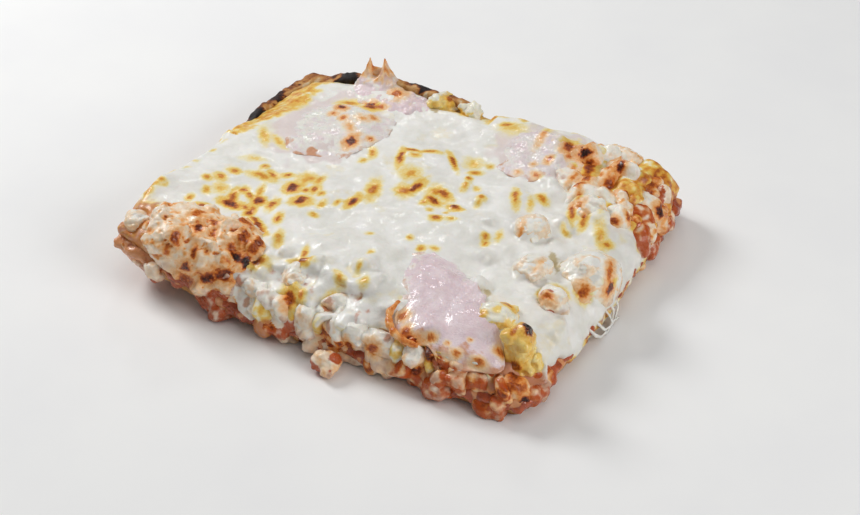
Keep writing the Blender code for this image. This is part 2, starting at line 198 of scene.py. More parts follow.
@dataclass
class Solid:
    """A mesh as arrays, in millimetres in the design frame."""

    points: np.ndarray
    faces: np.ndarray
    values: dict[str, np.ndarray] = field(default_factory=dict)

    @classmethod
    def from_mesh(cls, mesh: bpy.types.Mesh) -> Solid:
        """Reads a mesh whose faces all have the same number of corners."""
        points = np.empty(len(mesh.vertices) * 3)
        mesh.vertices.foreach_get("co", points)
        corners = np.empty(len(mesh.loops), int)
        mesh.loops.foreach_get("vertex_index", corners)
        return cls(points.reshape(-1, 3), corners.reshape(len(mesh.polygons), -1))

    @classmethod
    def of_node(cls, name: str) -> Solid:
        """Reads a CAD node and joins the corners that its file keeps apart.

        Args:
            name: the node's name.

        Returns:
            The node as a closed triangle mesh in the design frame.
        """
        bm = bmesh.new()
        bm.from_mesh(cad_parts[name].data)
        bmesh.ops.remove_doubles(bm, verts=bm.verts, dist=1e-6)
        bmesh.ops.triangulate(bm, faces=bm.faces)
        mesh = bpy.data.meshes.new("read_" + name)
        bm.to_mesh(mesh)
        bm.free()
        solid = cls.from_mesh(mesh)
        bpy.data.meshes.remove(mesh)
        solid.points = solid.points / MM - SHIFT
        return solid

    def edges(self) -> np.ndarray:
        """Every edge once, as pairs of point numbers."""
        turns = [self.faces[:, [i, (i + 1) % self.faces.shape[1]]] for i in range(self.faces.shape[1])]
        return np.unique(np.sort(np.concatenate(turns), axis=1), axis=0)

    def normals(self) -> np.ndarray:
        """The outward way at each point."""
        corners = [self.points[self.faces[:, i]] for i in range(self.faces.shape[1])]
        across = np.cross(corners[2] - corners[0], corners[-1] - corners[1])
        if len(corners) == 3:
            across = np.cross(corners[1] - corners[0], corners[2] - corners[0])
        summed = np.zeros_like(self.points)
        for i in range(self.faces.shape[1]):
            for k in range(3):
                summed[:, k] += np.bincount(self.faces[:, i], across[:, k], len(self.points))
        return summed / np.maximum(np.linalg.norm(summed, axis=1), 1e-12)[:, None]

    def push(self, distance: float | np.ndarray) -> Solid:
        """Moves every point outward by the distance in millimetres and returns the solid."""
        self.points = self.points + self.normals() * np.reshape(distance, (-1, 1))
        return self

    def relax(self, rounds: int, share: float = 0.5, hold: np.ndarray | float = 1.0) -> Solid:
        """Evens the surface out, as melting or wear does.

        Args:
            rounds: how often each point moves towards the mean of its neighbours.
            share: how far it moves each time.
            hold: 1 where points move freely and 0 where they stay.

        Returns:
            The solid itself.
        """
        pairs = self.edges()
        total = len(self.points)
        count = np.maximum(np.bincount(pairs.ravel(), minlength=total), 1)
        free = np.reshape(np.broadcast_to(hold, (total,)), (-1, 1)) * share
        for _ in range(rounds):
            mean = np.empty_like(self.points)
            for k in range(3):
                way = self.points[:, k]
                mean[:, k] = np.bincount(pairs[:, 0], way[pairs[:, 1]], total)
                mean[:, k] += np.bincount(pairs[:, 1], way[pairs[:, 0]], total)
            self.points = self.points + (mean / count[:, None] - self.points) * free
        return self

    def hollows(self, rounds: int) -> np.ndarray:
        """How deep each point lies in a crease, in millimetres, and below 0 on a bulge."""
        calm = Solid(self.points.copy(), self.faces).relax(rounds)
        return ((calm.points - self.points) * self.normals()).sum(axis=1)

    def tree(self) -> BVHTree:
        """A search tree of the surface."""
        return BVHTree.FromPolygons(self.points.tolist(), self.faces.tolist())

    def stay_in_box(self, room: float) -> None:
        """Draws what stands out of the solids' box back to less than this much outside it."""
        for way, low, high in zip(range(3), (BOX_LOW[0], BOX_LOW[1], FAR_BELOW), BOX_HIGH):
            place = self.points[:, way]
            over = np.maximum(place - (high - room), 0.0)
            under = np.maximum((low + room) - place, 0.0)
            self.points[:, way] = place - over + 2 * room * np.tanh(over / (2 * room))
            self.points[:, way] += under - 2 * room * np.tanh(under / (2 * room))

    def lay(
        self, name: str, finish: Finish, nodes: Sequence[str], slot: str, room: float = 1.0
    ) -> bpy.types.Object:
        """Makes the solid a piece of the scene.

        Args:
            name: the piece's name.
            finish: its material.
            nodes: CAD nodes that it stands for.
            slot: not used.
            room: how far it may stand out of the solids' box.

        Returns:
            The object, riding on the slice's one body.
        """
        self.stay_in_box(room)
        mesh = bpy.data.meshes.new(name)
        mesh.from_pydata(((self.points + SHIFT) * MM).tolist(), [], self.faces.tolist())
        mesh.validate()
        for key, values in self.values.items():
            layer = mesh.attributes.new(key, "FLOAT", "POINT")
            layer.data.foreach_set("value", np.asarray(values, np.float32))
        mesh.shade_smooth()
        mesh.materials.append(finish.material())
        piece = bpy.data.objects.new(name, mesh)
        bpy.context.scene.collection.objects.link(piece)
        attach(piece, "root")
        if nodes:
            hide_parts(*nodes)
        log.info("%s: %d faces, stands for %s", name, len(mesh.polygons), list(nodes) or "none")
        return piece


def joined(solids: Sequence[Solid]) -> Solid:
    """Puts solids with the same kind of faces into one set of arrays."""
    starts = np.cumsum([0] + [len(s.points) for s in solids[:-1]])
    points = np.concatenate([s.points for s in solids])
    faces = np.concatenate([s.faces + start for s, start in zip(solids, starts)])
    keys = solids[0].values.keys()
    values = {k: np.concatenate([s.values[k] for s in solids]) for k in keys}
    return Solid(points, faces, values)


def round_ball() -> Solid:
    """An evenly faced ball of radius 1."""
    bm = bmesh.new()
    bmesh.ops.create_icosphere(bm, subdivisions=3, radius=1.0)
    mesh = bpy.data.meshes.new("ball")
    bm.to_mesh(mesh)
    bm.free()
    ball = Solid.from_mesh(mesh)
    bpy.data.meshes.remove(mesh)
    return ball


BALL = round_ball()


def chopped_bit(centre: np.ndarray, half: np.ndarray | float, draw: np.random.Generator) -> Solid:
    """One angular bit, as a knife leaves it: a ball cut flat by random planes.

    Args:
        centre: its middle.
        half: its half sizes.
        draw: source of its shape.

    Returns:
        The bit.
    """
    ways = BALL.points / np.linalg.norm(BALL.points, axis=1)[:, None]
    cuts = draw.normal(size=(11, 3))
    cuts /= np.linalg.norm(cuts, axis=1)[:, None]
    depths = draw.uniform(0.62, 0.95, 11)
    reach = np.minimum((depths / np.maximum(ways @ cuts.T, 0.05)).min(axis=1), 1.25)
    turn = np.linalg.qr(draw.normal(size=(3, 3)))[0]
    turn[:, 0] *= np.sign(np.linalg.det(turn))
    return Solid((ways * reach[:, None] * half) @ turn + centre, BALL.faces)


def melted(solids: Sequence[Solid], grain: float) -> Solid:
    """One closed skin round all the solids, with evenly sized faces.

    Args:
        solids: closed solids, which may overlap.
        grain: size of its faces in millimetres.

    Returns:
        The skin as quads.
    """
    rough = joined([Solid(s.points, s.faces) for s in solids])
    mesh = bpy.data.meshes.new("rough")
    mesh.from_pydata(rough.points.tolist(), [], rough.faces.tolist())
    holder = bpy.data.objects.new("rough", mesh)
    bpy.context.scene.collection.objects.link(holder)
    skin = holder.modifiers.new("skin", "REMESH")
    skin.mode = "VOXEL"
    skin.voxel_size = grain
    bpy.context.view_layer.update()
    graph = bpy.context.evaluated_depsgraph_get()
    made = bpy.data.meshes.new_from_object(holder.evaluated_get(graph))
    solid = Solid.from_mesh(made)
    bpy.data.objects.remove(holder)
    bpy.data.meshes.remove(mesh)
    bpy.data.meshes.remove(made)
    return solid


@dataclass(frozen=True)
class Mark:
    """A browned or oily place, or a place of painted shade, by where it shows on the level plane, with its
    half sizes in millimetres.
    """

    x: float
    y: float
    long: float
    wide: float
    turn: float
    depth: float


def seen_from_camera(tree: BVHTree, x: float, y: float) -> np.ndarray | None:
    """Finds what the camera sees through a place on the level plane.

    Args:
        tree: the surface to look at.
        x: place on the plane in the design frame.
        y: the same, the other way.

    Returns:
        The place on the surface, or None where the camera looks past it.
    """
    eye = EYE - SHIFT
    way = np.array((x, y, LEVEL)) - eye
    hit = tree.ray_cast(Vector(eye), Vector(way / np.linalg.norm(way)))
    return None if hit[0] is None else np.array(hit[0])


def browned(points: np.ndarray, marks: Sequence[Mark], tree: BVHTree, seed: int) -> np.ndarray:
    """How far each point is browned by the marks; marks of painted shade darken it the same way.

    Args:
        points: the surface's points.
        marks: its browned places and places of painted shade.
        tree: the same surface, to set each mark on.
        seed: pattern that breaks their outlines.

    Returns:
        0 for pale, about 0.3 for a golden edge and up to 1 for burnt.
    """
    ragged = 0.40 * noise(points, 2.4, seed) + 0.26 * noise(points, 1.1, seed + 1)
    toast = np.zeros(len(points))
    for mark in marks:
        centre = seen_from_camera(tree, mark.x, mark.y)
        if centre is None:
            continue
        away = points - centre
        turn = math.radians(mark.turn)
        along = (away[:, 0] * math.cos(turn) + away[:, 1] * math.sin(turn)) / mark.long
        across = (away[:, 1] * math.cos(turn) - away[:, 0] * math.sin(turn)) / mark.wide
        above = away[:, 2] / max(2.5, 0.5 * (mark.long + mark.wide))
        far = np.sqrt(along**2 + across**2 + above**2) + ragged
        core = mark.depth * smooth_step(1.35, 0.35, far)
        halo = 0.28 * math.sqrt(mark.depth) * smooth_step(2.7, 1.0, far)
        toast = np.maximum(toast, np.maximum(core, halo))
    return toast


@dataclass(frozen=True)
class Tint:
    """A second colour where one of the surface's painted shares is high."""

    share: str
    colour: str
    most: float = 1.0
    broken: float = 0.3
    span: float = 1.2
    # Whether it lies over the browning.
    over: bool = False


@dataclass(frozen=True)
class Finish:
    """What a surface is made of. Spans and heights of patterns are in millimetres."""

    name: str
    light: str
    deep: str
    mottle: float
    browning: tuple[tuple[float, str], ...] = ()
    tints: tuple[Tint, ...] = ()
    roughness: float = 0.45
    uneven: float = 0.12
    bumps: tuple[tuple[float, float], ...] = ((0.9, 0.12), (0.4, 0.05))
    ior: float = 1.45
    subsurface: float = 0.0
    bleed: Way = (1.0, 0.6, 0.35)
    bleed_depth: float = 2.0
    coat: float = 0.0
    coat_roughness: float = 0.12

    def material(self) -> bpy.types.Material:
        """The finish as a node material, made once and then shared.

        Returns:
            The material.
        """
        if self.name in bpy.data.materials:
            return bpy.data.materials[self.name]
        made = bpy.data.materials.new(self.name)
        made.use_nodes = True
        tree = made.node_tree
        shader = tree.nodes["Principled BSDF"]
        place = add_node(tree, "ShaderNodeTexCoord").outputs["Object"]
        broad = self.pattern(tree, place, self.mottle, 3.0)
        spread = {"From Min": 0.36, "From Max": 0.64}
        shade = add_node(tree, "ShaderNodeMapRange", {}, {"Value": broad, **spread})
        colour = self.blend(tree, shade.outputs["Result"], linear(self.light), linear(self.deep))
        colour = self.tinted(tree, place, colour, False)
        if self.browning:
            amount = self.share(tree, place, "toast", 0.45, 0.8)
            ramp = add_node(tree, "ShaderNodeValToRGB", {"stops": self.browning}, {"Fac": amount})
            first = {"Value": amount, "From Min": 0.0, "From Max": 0.16}
            cover = add_node(tree, "ShaderNodeMapRange", {}, first)
            colour = self.blend(tree, cover.outputs["Result"], colour, ramp.outputs["Color"])
        colour = self.tinted(tree, place, colour, True)
        tree.links.new(colour, shader.inputs["Base Color"])
        wet = self.pattern(tree, place, 2.4, 2.0)
        low, high = self.roughness - self.uneven, self.roughness + self.uneven
        sheen = {"From Min": 0.35, "From Max": 0.65, "To Min": max(low, 0.05), "To Max": high}
        rough = add_node(tree, "ShaderNodeMapRange", {}, {"Value": wet, **sheen})
        tree.links.new(rough.outputs["Result"], shader.inputs["Roughness"])
        normal: bpy.types.NodeSocket | None = None
        for span, height in self.bumps:
            relief = self.pattern(tree, place, span, 2.0)
            links: dict[str | int, object] = {"Height": relief, "Distance": height * MM, "Strength": 1.0}
            if normal is not None:
                links["Normal"] = normal
            normal = add_node(tree, "ShaderNodeBump", {}, links).outputs["Normal"]
        if normal is not None:
            tree.links.new(normal, shader.inputs["Normal"])
        shader.inputs["IOR"].default_value = self.ior
        shader.inputs["Subsurface Weight"].default_value = self.subsurface
        shader.inputs["Subsurface Radius"].default_value = self.bleed
        shader.inputs["Subsurface Scale"].default_value = self.bleed_depth * MM
        shader.inputs["Coat Weight"].default_value = self.coat
        shader.inputs["Coat Roughness"].default_value = self.coat_roughness
        return made

    def tinted(
        self, tree: bpy.types.NodeTree, place: bpy.types.NodeSocket, colour: bpy.types.NodeSocket, over: bool
    ) -> bpy.types.NodeSocket:
        """Lays on the tints that go under or over the browning.

        Args:
            tree: the material's nodes.
            place: where patterns are read.
            colour: what the tints lie on.
            over: which of them are laid on.

        Returns:
            The tinted colour.
        """
        for tint in self.tints:
            if tint.over is over:
                amount = self.share(tree, place, tint.share, tint.broken, tint.span)
                edge = {"Value": amount, "From Min": 0.2, "From Max": 0.8, "To Max": tint.most}
                even = add_node(tree, "ShaderNodeMapRange", {"interpolation_type": "SMOOTHSTEP"}, edge)
                colour = self.blend(tree, even.outputs["Result"], colour, linear(tint.colour))
        return colour

    def pattern(
        self, tree: bpy.types.NodeTree, place: bpy.types.NodeSocket, span: float, detail: float
    ) -> bpy.types.NodeSocket:
        """A noise texture whose features are span millimetres wide."""
        links = {"Vector": place, "Scale": per_mm(span), "Detail": detail, "Roughness": 0.55}
        return add_node(tree, "ShaderNodeTexNoise", {}, links).outputs["Fac"]

    def blend(
        self, tree: bpy.types.NodeTree, share: bpy.types.NodeSocket, under: object, over: object
    ) -> bpy.types.NodeSocket:
        """One colour over another by a share."""
        mixed = add_node(tree, "ShaderNodeMix", {"data_type": "RGBA"}, {0: share, 6: under, 7: over})
        return mixed.outputs[2]

    def share(
        self, tree: bpy.types.NodeTree, place: bpy.types.NodeSocket, name: str, broken: float, span: float
    ) -> bpy.types.NodeSocket:
        """A painted share with its edge broken up by fine noise.

        Args:
            tree: the material's nodes.
            place: where the pattern is read.
            name: the share's name on the mesh.
            broken: how strongly noise changes it.
            span: size of that noise in millimetres.

        Returns:
            The changed share.
        """
        painted = add_node(tree, "ShaderNodeAttribute", {"attribute_name": name}).outputs["Fac"]
        grit = self.pattern(tree, place, span, 2.0)
        terms = {0: grit, 1: 2 * broken, 2: 1 - broken}
        gain = add_node(tree, "ShaderNodeMath", {"operation": "MULTIPLY_ADD"}, terms).outputs[0]
        return add_node(tree, "ShaderNodeMath", {"operation": "MULTIPLY"}, {0: painted, 1: gain}).outputs[0]


# Browning of milk protein and fat: straw, gold, chestnut, then soot.
CHEESE_BROWNING = (
    (0.00, "#F1EEDF"),
    (0.10, "#F0E2A6"),
    (0.24, "#EAC25A"),
    (0.40, "#DB9430"),
    (0.56, "#BE6A1A"),
    (0.76, "#944212"),
    (1.00, "#4E1C0B"),
)
MEAT_BROWNING = (
    (0.00, "#F8E8D2"),
    (0.12, "#F6D6AE"),
    (0.28, "#EDA860"),
    (0.44, "#D2742A"),
    (0.62, "#9E4614"),
    (0.82, "#551F0A"),
    (1.00, "#1E0B06"),
)
# Melted low-moisture mozzarella: an opaque, slightly green white that light sinks into, wet with its own fat.
MELTED_CHEESE = Finish(
    "melted_mozzarella",
    light="#F2F0EB",
    deep="#E6E4DC",
    mottle=7.0,
    browning=CHEESE_BROWNING,
    tints=(
        Tint("oil", "#E6D183", most=0.65, broken=0.6, span=1.8),
        # Olive juice colour, partly painted shade in the hollows between pieces.
        Tint("juice", "#B09A60", most=0.8, broken=0.4, span=1.4),
        Tint("pink", "#DDCBC8", most=0.7, broken=0.25, span=2.5),
        # Sauce stain, and painted shade in the front creases and crevices.
        Tint("stain", "#C06A38", most=0.85, broken=0.5, span=1.5, over=True),
    ),
    roughness=0.42,
    uneven=0.12,
    bumps=((1.8, 0.20), (0.6, 0.07)),
    subsurface=0.08,
    bleed_depth=1.2,
    coat=0.18,
    coat_roughness=0.1,
)
# Cooked chicken, chopped after cooking: cream fibres, pinkish brown where juice and sauce soaked in. Its
# pinkish brown, red and browning also carry painted shade in creases and on the lower parts of pieces.
COOKED_CHICKEN = Finish(
    "chopped_cooked_chicken",
    light="#FAEEDD",
    deep="#ECCFAE",
    mottle=3.0,
    browning=MEAT_BROWNING,
    tints=(
        Tint("film", "#F3F0E6", most=1.0, broken=0.5, span=1.6),
        Tint("blush", "#BC8262", most=0.85, broken=0.4, span=1.8),
        Tint("red", "#B84C0C", most=0.95, broken=0.6, span=1.4, over=True),
    ),
    ior=1.34,
    roughness=0.34,
    uneven=0.14,
    bumps=((1.1, 0.24), (0.4, 0.12)),
    subsurface=0.12,
    bleed_depth=1.2,
    coat=0.28,
    coat_roughness=0.07,
)
# Pressed cooked ham, sliced thin: pale mauve pink, with a wet granular face from its brine.
SLICED_HAM = Finish(
    "pressed_cooked_ham",
    light="#ECDBDE",
    deep="#E2CACF",
    mottle=5.0,
    browning=MEAT_BROWNING,
    tints=(
        Tint("film", "#EEECE2", most=1.0, broken=0.4, span=2.0),
        Tint("blush", "#D08C5E", most=0.9, broken=0.4, span=1.6),
    ),
    roughness=0.36,
    uneven=0.12,
    bumps=((1.3, 0.14), (0.55, 0.26)),
    subsurface=0.15,
    bleed_depth=1.2,
    coat=0.5,
    coat_roughness=0.1,
)
# Pan-baked dough: tan, dry and pored, scorched to soot where it met the pan's rim.
BAKED_CRUST = Finish(
    "pan_baked_dough",
    light="#D9B27A",
    deep="#B9824A",
    mottle=4.0,
    browning=(
        (0.00, "#D9B27A"),
        (0.20, "#C48E50"),
        (0.40, "#9C5E2A"),
        (0.60, "#5E2E18"),
        (0.80, "#2A1512"),
        (1.00, "#140B0C"),
    ),
    tints=(Tint("film", "#E6DCC0", most=0.9, broken=0.5, span=1.8),),
    roughness=0.68,
    uneven=0.14,
    bumps=((1.4, 0.35), (0.5, 0.18)),
    subsurface=0.06,
    bleed_depth=1.0,
)
# Cooked tomato sauce: dark orange red, glossy with oil.
TOMATO_SAUCE = Finish(
    "baked_tomato_sauce",
    light="#C05A2C",
    deep="#983A16",
    mottle=2.6,
    browning=(
        (0.00, "#C05A2C"),
        (0.40, "#84300F"),
        (0.75, "#3B140C"),
        (1.00, "#1B0B08"),
    ),
    tints=(Tint("film", "#DE9A66", most=0.9, broken=0.6, span=1.6, over=True),),
    roughness=0.30,
    uneven=0.10,
    bumps=((1.5, 0.30), (0.6, 0.12)),
    subsurface=0.12,
    bleed_depth=1.2,
    coat=0.45,
    coat_roughness=0.1,
)
# Canned fruit, roasted on top: translucent yellow with burnt corners.
ROASTED_FRUIT = Finish(
    "roasted_yellow_fruit",
    light="#FBEAAA",
    deep="#F6CC5C",
    mottle=2.6,
    browning=(
        (0.00, "#F4DC86"),
        (0.22, "#EDB84A"),
        (0.45, "#C06A1C"),
        (0.68, "#5A2210"),
        (1.00, "#120A0C"),
    ),
    tints=(Tint("film", "#EFECDC", most=1.0, broken=0.5, span=1.6),),
    roughness=0.32,
    uneven=0.12,
    bumps=((1.0, 0.2), (0.45, 0.1)),
    subsurface=0.2,
    bleed=(1.0, 0.75, 0.25),
    bleed_depth=1.6,
    coat=0.35,
)
# Matt white board under the slice.
STUDIO_BOARD = Finish(
    "matt_white_board",
    light="#F4F4F3",
    deep="#F1F1F1",
    mottle=60.0,
    roughness=0.85,
    uneven=0.03,
    bumps=((2.0, 0.01),),
)


# Browned, blistered and oily places of the cheese, one part of the slice after another, and last the painted
# shade of dark hollows.
CHEESE_MARKS = (
    # On and round the back left ham slice.
    Mark(-33.8, 55.6, 2.6, 2.9, 0, 0.52),
    Mark(-37.8, 41.9, 2.6, 2.3, 30, 0.80),
    Mark(-35.5, 43.8, 2.4, 1.3, 10, 0.50),
    Mark(-47.8, 37.2, 2.2, 1.7, -20, 0.78),
    Mark(-46.5, 40.6, 3.2, 1.8, 20, 0.44),
    Mark(-48.1, 31.8, 1.4, 1.3, 0, 0.46),
    Mark(-43.4, 31.0, 1.4, 1.3, 0, 0.46),
    Mark(-33.4, 36.3, 1.5, 1.6, 0, 0.36),
    Mark(-36.6, 34.4, 2.2, 1.6, 0, 0.28),
    Mark(-38.0, 26.6, 4.2, 1.3, -45, 0.26),
    Mark(-33.0, 19.1, 1.9, 2.8, 0, 0.82),
    Mark(-27.2, 23.3, 1.2, 1.1, 0, 0.50),
    Mark(-21.9, 15.6, 1.1, 2.4, 30, 0.44),
    Mark(-22.8, 10.3, 1.2, 1.2, 0, 0.34),
    # Behind the middle.
    Mark(-11.9, 18.6, 1.1, 3.9, 20, 0.80),
    Mark(-10.3, 24.6, 2.6, 0.9, 15, 0.60),
    Mark(-4.6, 26.6, 3.6, 1.0, 22, 0.52),
    Mark(-8.0, 22.3, 1.6, 1.3, 0, 0.46),
    Mark(-3.8, 11.3, 2.8, 2.2, 0, 0.38),
    Mark(-0.6, 1.0, 2.3, 2.6, 0, 0.52),
    Mark(2.2, 4.4, 1.3, 3.8, -14, 0.84),
    Mark(-10.8, -3.6, 1.8, 4.4, 18, 0.54),
    Mark(-13.3, -13.6, 1.3, 3.1, -10, 0.92),
    Mark(-17.8, -16.8, 0.8, 1.5, 0, 0.42),
    # Along the left edge.
    Mark(-63.0, 7.0, 1.4, 4.2, 35, 0.32),
    Mark(-56.0, 6.0, 3.8, 1.0, -30, 0.30),
    Mark(-77.2, 0.5, 1.3, 5.2, 8, 0.42),
    Mark(-78.8, 5.0, 0.9, 3.0, 5, 0.34),
    # On and round the back right ham slice.
    Mark(12.5, 55.6, 2.0, 1.4, 20, 0.50),
    Mark(15.4, 55.0, 3.8, 2.8, 0, 0.26),
    Mark(3.4, 56.9, 2.5, 1.9, -30, 0.44),
    Mark(27.2, 58.0, 1.1, 6.0, 4, 0.34),
    Mark(28.4, 63.2, 1.8, 1.3, 0, 0.44),
    Mark(39.4, 53.4, 2.4, 2.8, 0, 0.66),
    Mark(45.6, 53.0, 2.6, 3.3, 10, 0.95),
    Mark(41.6, 47.8, 1.4, 2.4, 20, 0.44),
    Mark(36.1, 43.1, 1.3, 1.7, 0, 0.58),
    Mark(46.2, 42.0, 1.0, 1.8, 0, 0.36),
    Mark(48.8, 37.5, 1.0, 3.4, -10, 0.42),
    Mark(36.6, 31.6, 1.6, 1.2, -20, 0.46),
    Mark(29.7, 30.2, 1.2, 1.0, 0, 0.26),
    Mark(32.5, 37.2, 1.0, 1.4, 0, 0.26),
    Mark(51.3, 45.0, 2.3, 3.8, 12, 0.80),
    Mark(53.0, 38.8, 2.4, 2.6, 0, 0.62),
    # Among the half covered pieces on the right.
    Mark(35.6, 16.8, 1.1, 4.0, 28, 0.60),
    Mark(44.6, 19.8, 2.1, 1.5, -40, 0.46),
    Mark(42.4, 15.0, 0.9, 2.6, 20, 0.26),
    Mark(57.8, 16.8, 1.1, 3.4, 25, 0.62),
    Mark(63.1, 14.8, 1.1, 3.0, 10, 0.58),
    Mark(55.6, 26.2, 1.1, 3.2, 12, 0.42),
    Mark(71.9, 10.4, 1.5, 5.6, 30, 0.34),
    Mark(75.9, 5.6, 1.1, 2.2, -30, 0.54),
    Mark(60.6, 5.0, 1.6, 1.1, -30, 0.30),
    # Right of the middle.
    Mark(5.9, 25.4, 0.9, 4.2, 42, 0.74),
    Mark(19.4, 28.4, 1.0, 1.3, 0, 0.46),
    Mark(16.6, 22.4, 1.8, 1.1, 40, 0.46),
    Mark(13.8, 26.9, 2.6, 2.6, 0, 0.26),
    Mark(16.3, 18.4, 0.9, 1.1, 0, 0.56),
    Mark(16.9, 14.4, 0.9, 2.2, 0, 0.40),
    Mark(21.9, 13.8, 1.1, 0.9, -20, 0.26),
    Mark(25.3, 10.6, 1.3, 1.1, 0, 0.48),
    Mark(25.8, 7.4, 0.9, 1.5, 0, 0.34),
    Mark(9.4, 5.4, 2.2, 2.8, 0, 0.38),
    Mark(12.7, 5.5, 3.3, 1.4, -28, 0.66),
    Mark(11.6, 0.0, 2.4, 1.8, -15, 0.74),
    Mark(8.8, -2.0, 1.1, 1.2, 0, 0.48),
    Mark(19.7, 0.7, 2.2, 1.3, -8, 0.80),
    Mark(16.9, -8.2, 1.6, 1.4, 0, 0.60),
    Mark(21.9, -6.3, 1.5, 0.9, 20, 0.32),
    Mark(12.8, -5.0, 1.0, 0.9, 0, 0.30),
    Mark(18.8, -4.2, 0.8, 0.7, 0, 0.36),
    Mark(37.3, -9.6, 1.2, 1.2, 0, 0.44),
    Mark(39.0, -13.3, 1.1, 1.0, 0, 0.54),
    Mark(41.2, -7.6, 0.9, 2.4, 10, 0.28),
    # Behind the front ham slice.
    Mark(14.7, -22.7, 0.9, 1.1, 15, 0.44),
    Mark(21.1, -26.4, 1.0, 1.2, 0, 0.44),
    Mark(25.0, -24.0, 1.3, 0.8, 0, 0.34),
    # The dense blisters at the left.
    Mark(-58.4, -7.4, 3.2, 1.2, 15, 0.20),
    Mark(-52.2, -9.9, 1.1, 1.2, 0, 0.52),
    Mark(-50.0, -15.4, 4.2, 1.5, 8, 0.42),
    Mark(-46.6, -13.3, 1.8, 1.3, -25, 0.66),
    Mark(-41.9, -11.1, 1.8, 1.0, 35, 0.62),
    Mark(-60.3, -17.4, 1.7, 1.3, 0, 0.62),
    Mark(-36.3, -16.2, 2.5, 2.6, 0, 0.96),
    Mark(-34.2, -9.6, 3.0, 2.6, 0, 0.36),
    Mark(-30.4, -8.0, 1.2, 3.2, 10, 0.40),
    Mark(-29.0, -13.6, 1.3, 2.0, 5, 0.64),
    Mark(-31.4, -15.8, 1.3, 1.1, 0, 0.58),
    Mark(-25.6, -14.6, 1.3, 1.1, -30, 0.50),
    Mark(-29.7, -22.0, 2.9, 2.2, 12, 0.90),
    Mark(-22.2, -20.2, 0.9, 1.9, 0, 0.36),
    Mark(-21.6, -27.0, 1.3, 0.8, 0, 0.46),
    Mark(-62.8, -22.7, 2.1, 1.4, -20, 0.52),
    Mark(-66.9, -25.5, 1.3, 1.1, 0, 0.46),
    Mark(-58.8, -29.0, 2.2, 1.8, 0, 0.30),
    Mark(-62.5, -32.4, 1.2, 1.6, 30, 0.36),
    Mark(-65.3, -39.0, 1.0, 1.5, 0, 0.50),
    Mark(-37.2, -28.2, 1.5, 2.8, 8, 0.62),
    Mark(-31.2, -34.8, 1.2, 2.0, 12, 0.62),
    Mark(-45.2, -24.6, 1.0, 3.4, 12, 0.36),
    Mark(-43.0, -29.0, 2.1, 1.8, 0, 0.86),
    Mark(-47.2, -27.8, 2.6, 0.9, -35, 0.56),
    Mark(-50.6, -26.0, 1.3, 1.6, 0, 0.72),
    Mark(-52.0, -31.5, 1.4, 3.4, 10, 0.60),
    Mark(-50.0, -35.8, 3.2, 1.5, 0, 0.92),
    Mark(-44.6, -35.0, 2.6, 1.0, -20, 0.60),
    Mark(-41.9, -36.4, 1.4, 3.0, 10, 0.82),
    Mark(-57.8, -41.0, 2.6, 1.2, 28, 0.78),
    Mark(-35.2, -41.6, 4.4, 1.4, -38, 0.80),
    # Between the browned lump and the front ham slice.
    Mark(4.7, -53.6, 2.2, 1.1, -35, 0.36),
    Mark(7.2, -45.0, 0.8, 1.4, 0, 0.32),
    Mark(12.5, -51.0, 1.3, 1.6, 0, 0.30),
    Mark(6.8, -36.0, 0.8, 1.1, 0, 0.28),
    Mark(1.3, -27.0, 1.1, 0.9, 0, 0.28),
    Mark(-11.6, -51.6, 3.0, 1.2, 5, 0.84),
    Mark(-12.6, -47.4, 0.8, 2.6, 18, 0.60),
    Mark(-25.0, -44.6, 1.2, 3.0, 25, 0.40),
    # Along the right edge.
    Mark(80.0, -22.2, 2.5, 2.0, -20, 0.56),
    Mark(83.2, -7.4, 1.2, 5.4, 18, 0.48),
    Mark(87.4, -16.0, 1.9, 3.0, 10, 0.78),
    Mark(73.0, -25.0, 2.4, 1.2, 0, 0.44),
    Mark(68.0, -29.4, 0.9, 1.6, 0, 0.36),
    # Along the front edge.
    Mark(-4.1, -71.0, 2.2, 4.4, 20, 0.74),
    Mark(-1.5, -68.5, 1.4, 2.0, 20, 0.50),
    Mark(-23.3, -59.1, 2.4, 1.4, 20, 0.50),
    Mark(8.1, -65.6, 1.2, 2.4, -20, 0.32),
    # Painted shade: dark hollows under the front ham slice and beside the browned lump, painted as burnt
    # browning.
    Mark(49.9, -74.6, 2.6, 4.4, 0, 1.0),
    Mark(41.7, -71.7, 3.4, 1.6, 10, 0.95),
    Mark(56.6, -78.9, 3.4, 2.0, 0, 0.9),
    Mark(-24.5, -59.7, 2.2, 1.8, 0, 1.0),
    Mark(52.9, -85.4, 4.0, 1.8, 0, 0.8),
)

# Hollows where meat juice and oil gathered, olive coloured, and partly painted shade between the pieces.
JUICE_AND_SHADE_MARKS = (
    Mark(68.4, -11.3, 3.4, 3.0, 25, 0.95),
    Mark(64.5, -12.0, 1.8, 8.0, 35, 0.8),
    Mark(70.3, -33.1, 2.6, 1.8, 0, 0.85),
    Mark(80.4, -21.4, 3.0, 2.2, 0, 0.95),
    Mark(52.2, -37.6, 2.4, 1.8, 0, 0.9),
    Mark(-16.3, 52.0, 4.0, 1.4, -30, 0.95),
    Mark(-63.0, 7.0, 1.6, 5.5, 35, 0.8),
    Mark(-57.0, 6.0, 4.0, 1.2, -30, 0.7),
    Mark(58.5, 35.0, 4.6, 5.0, 20, 0.9),
    Mark(66.0, 30.0, 2.0, 7.0, 20, 0.6),
)
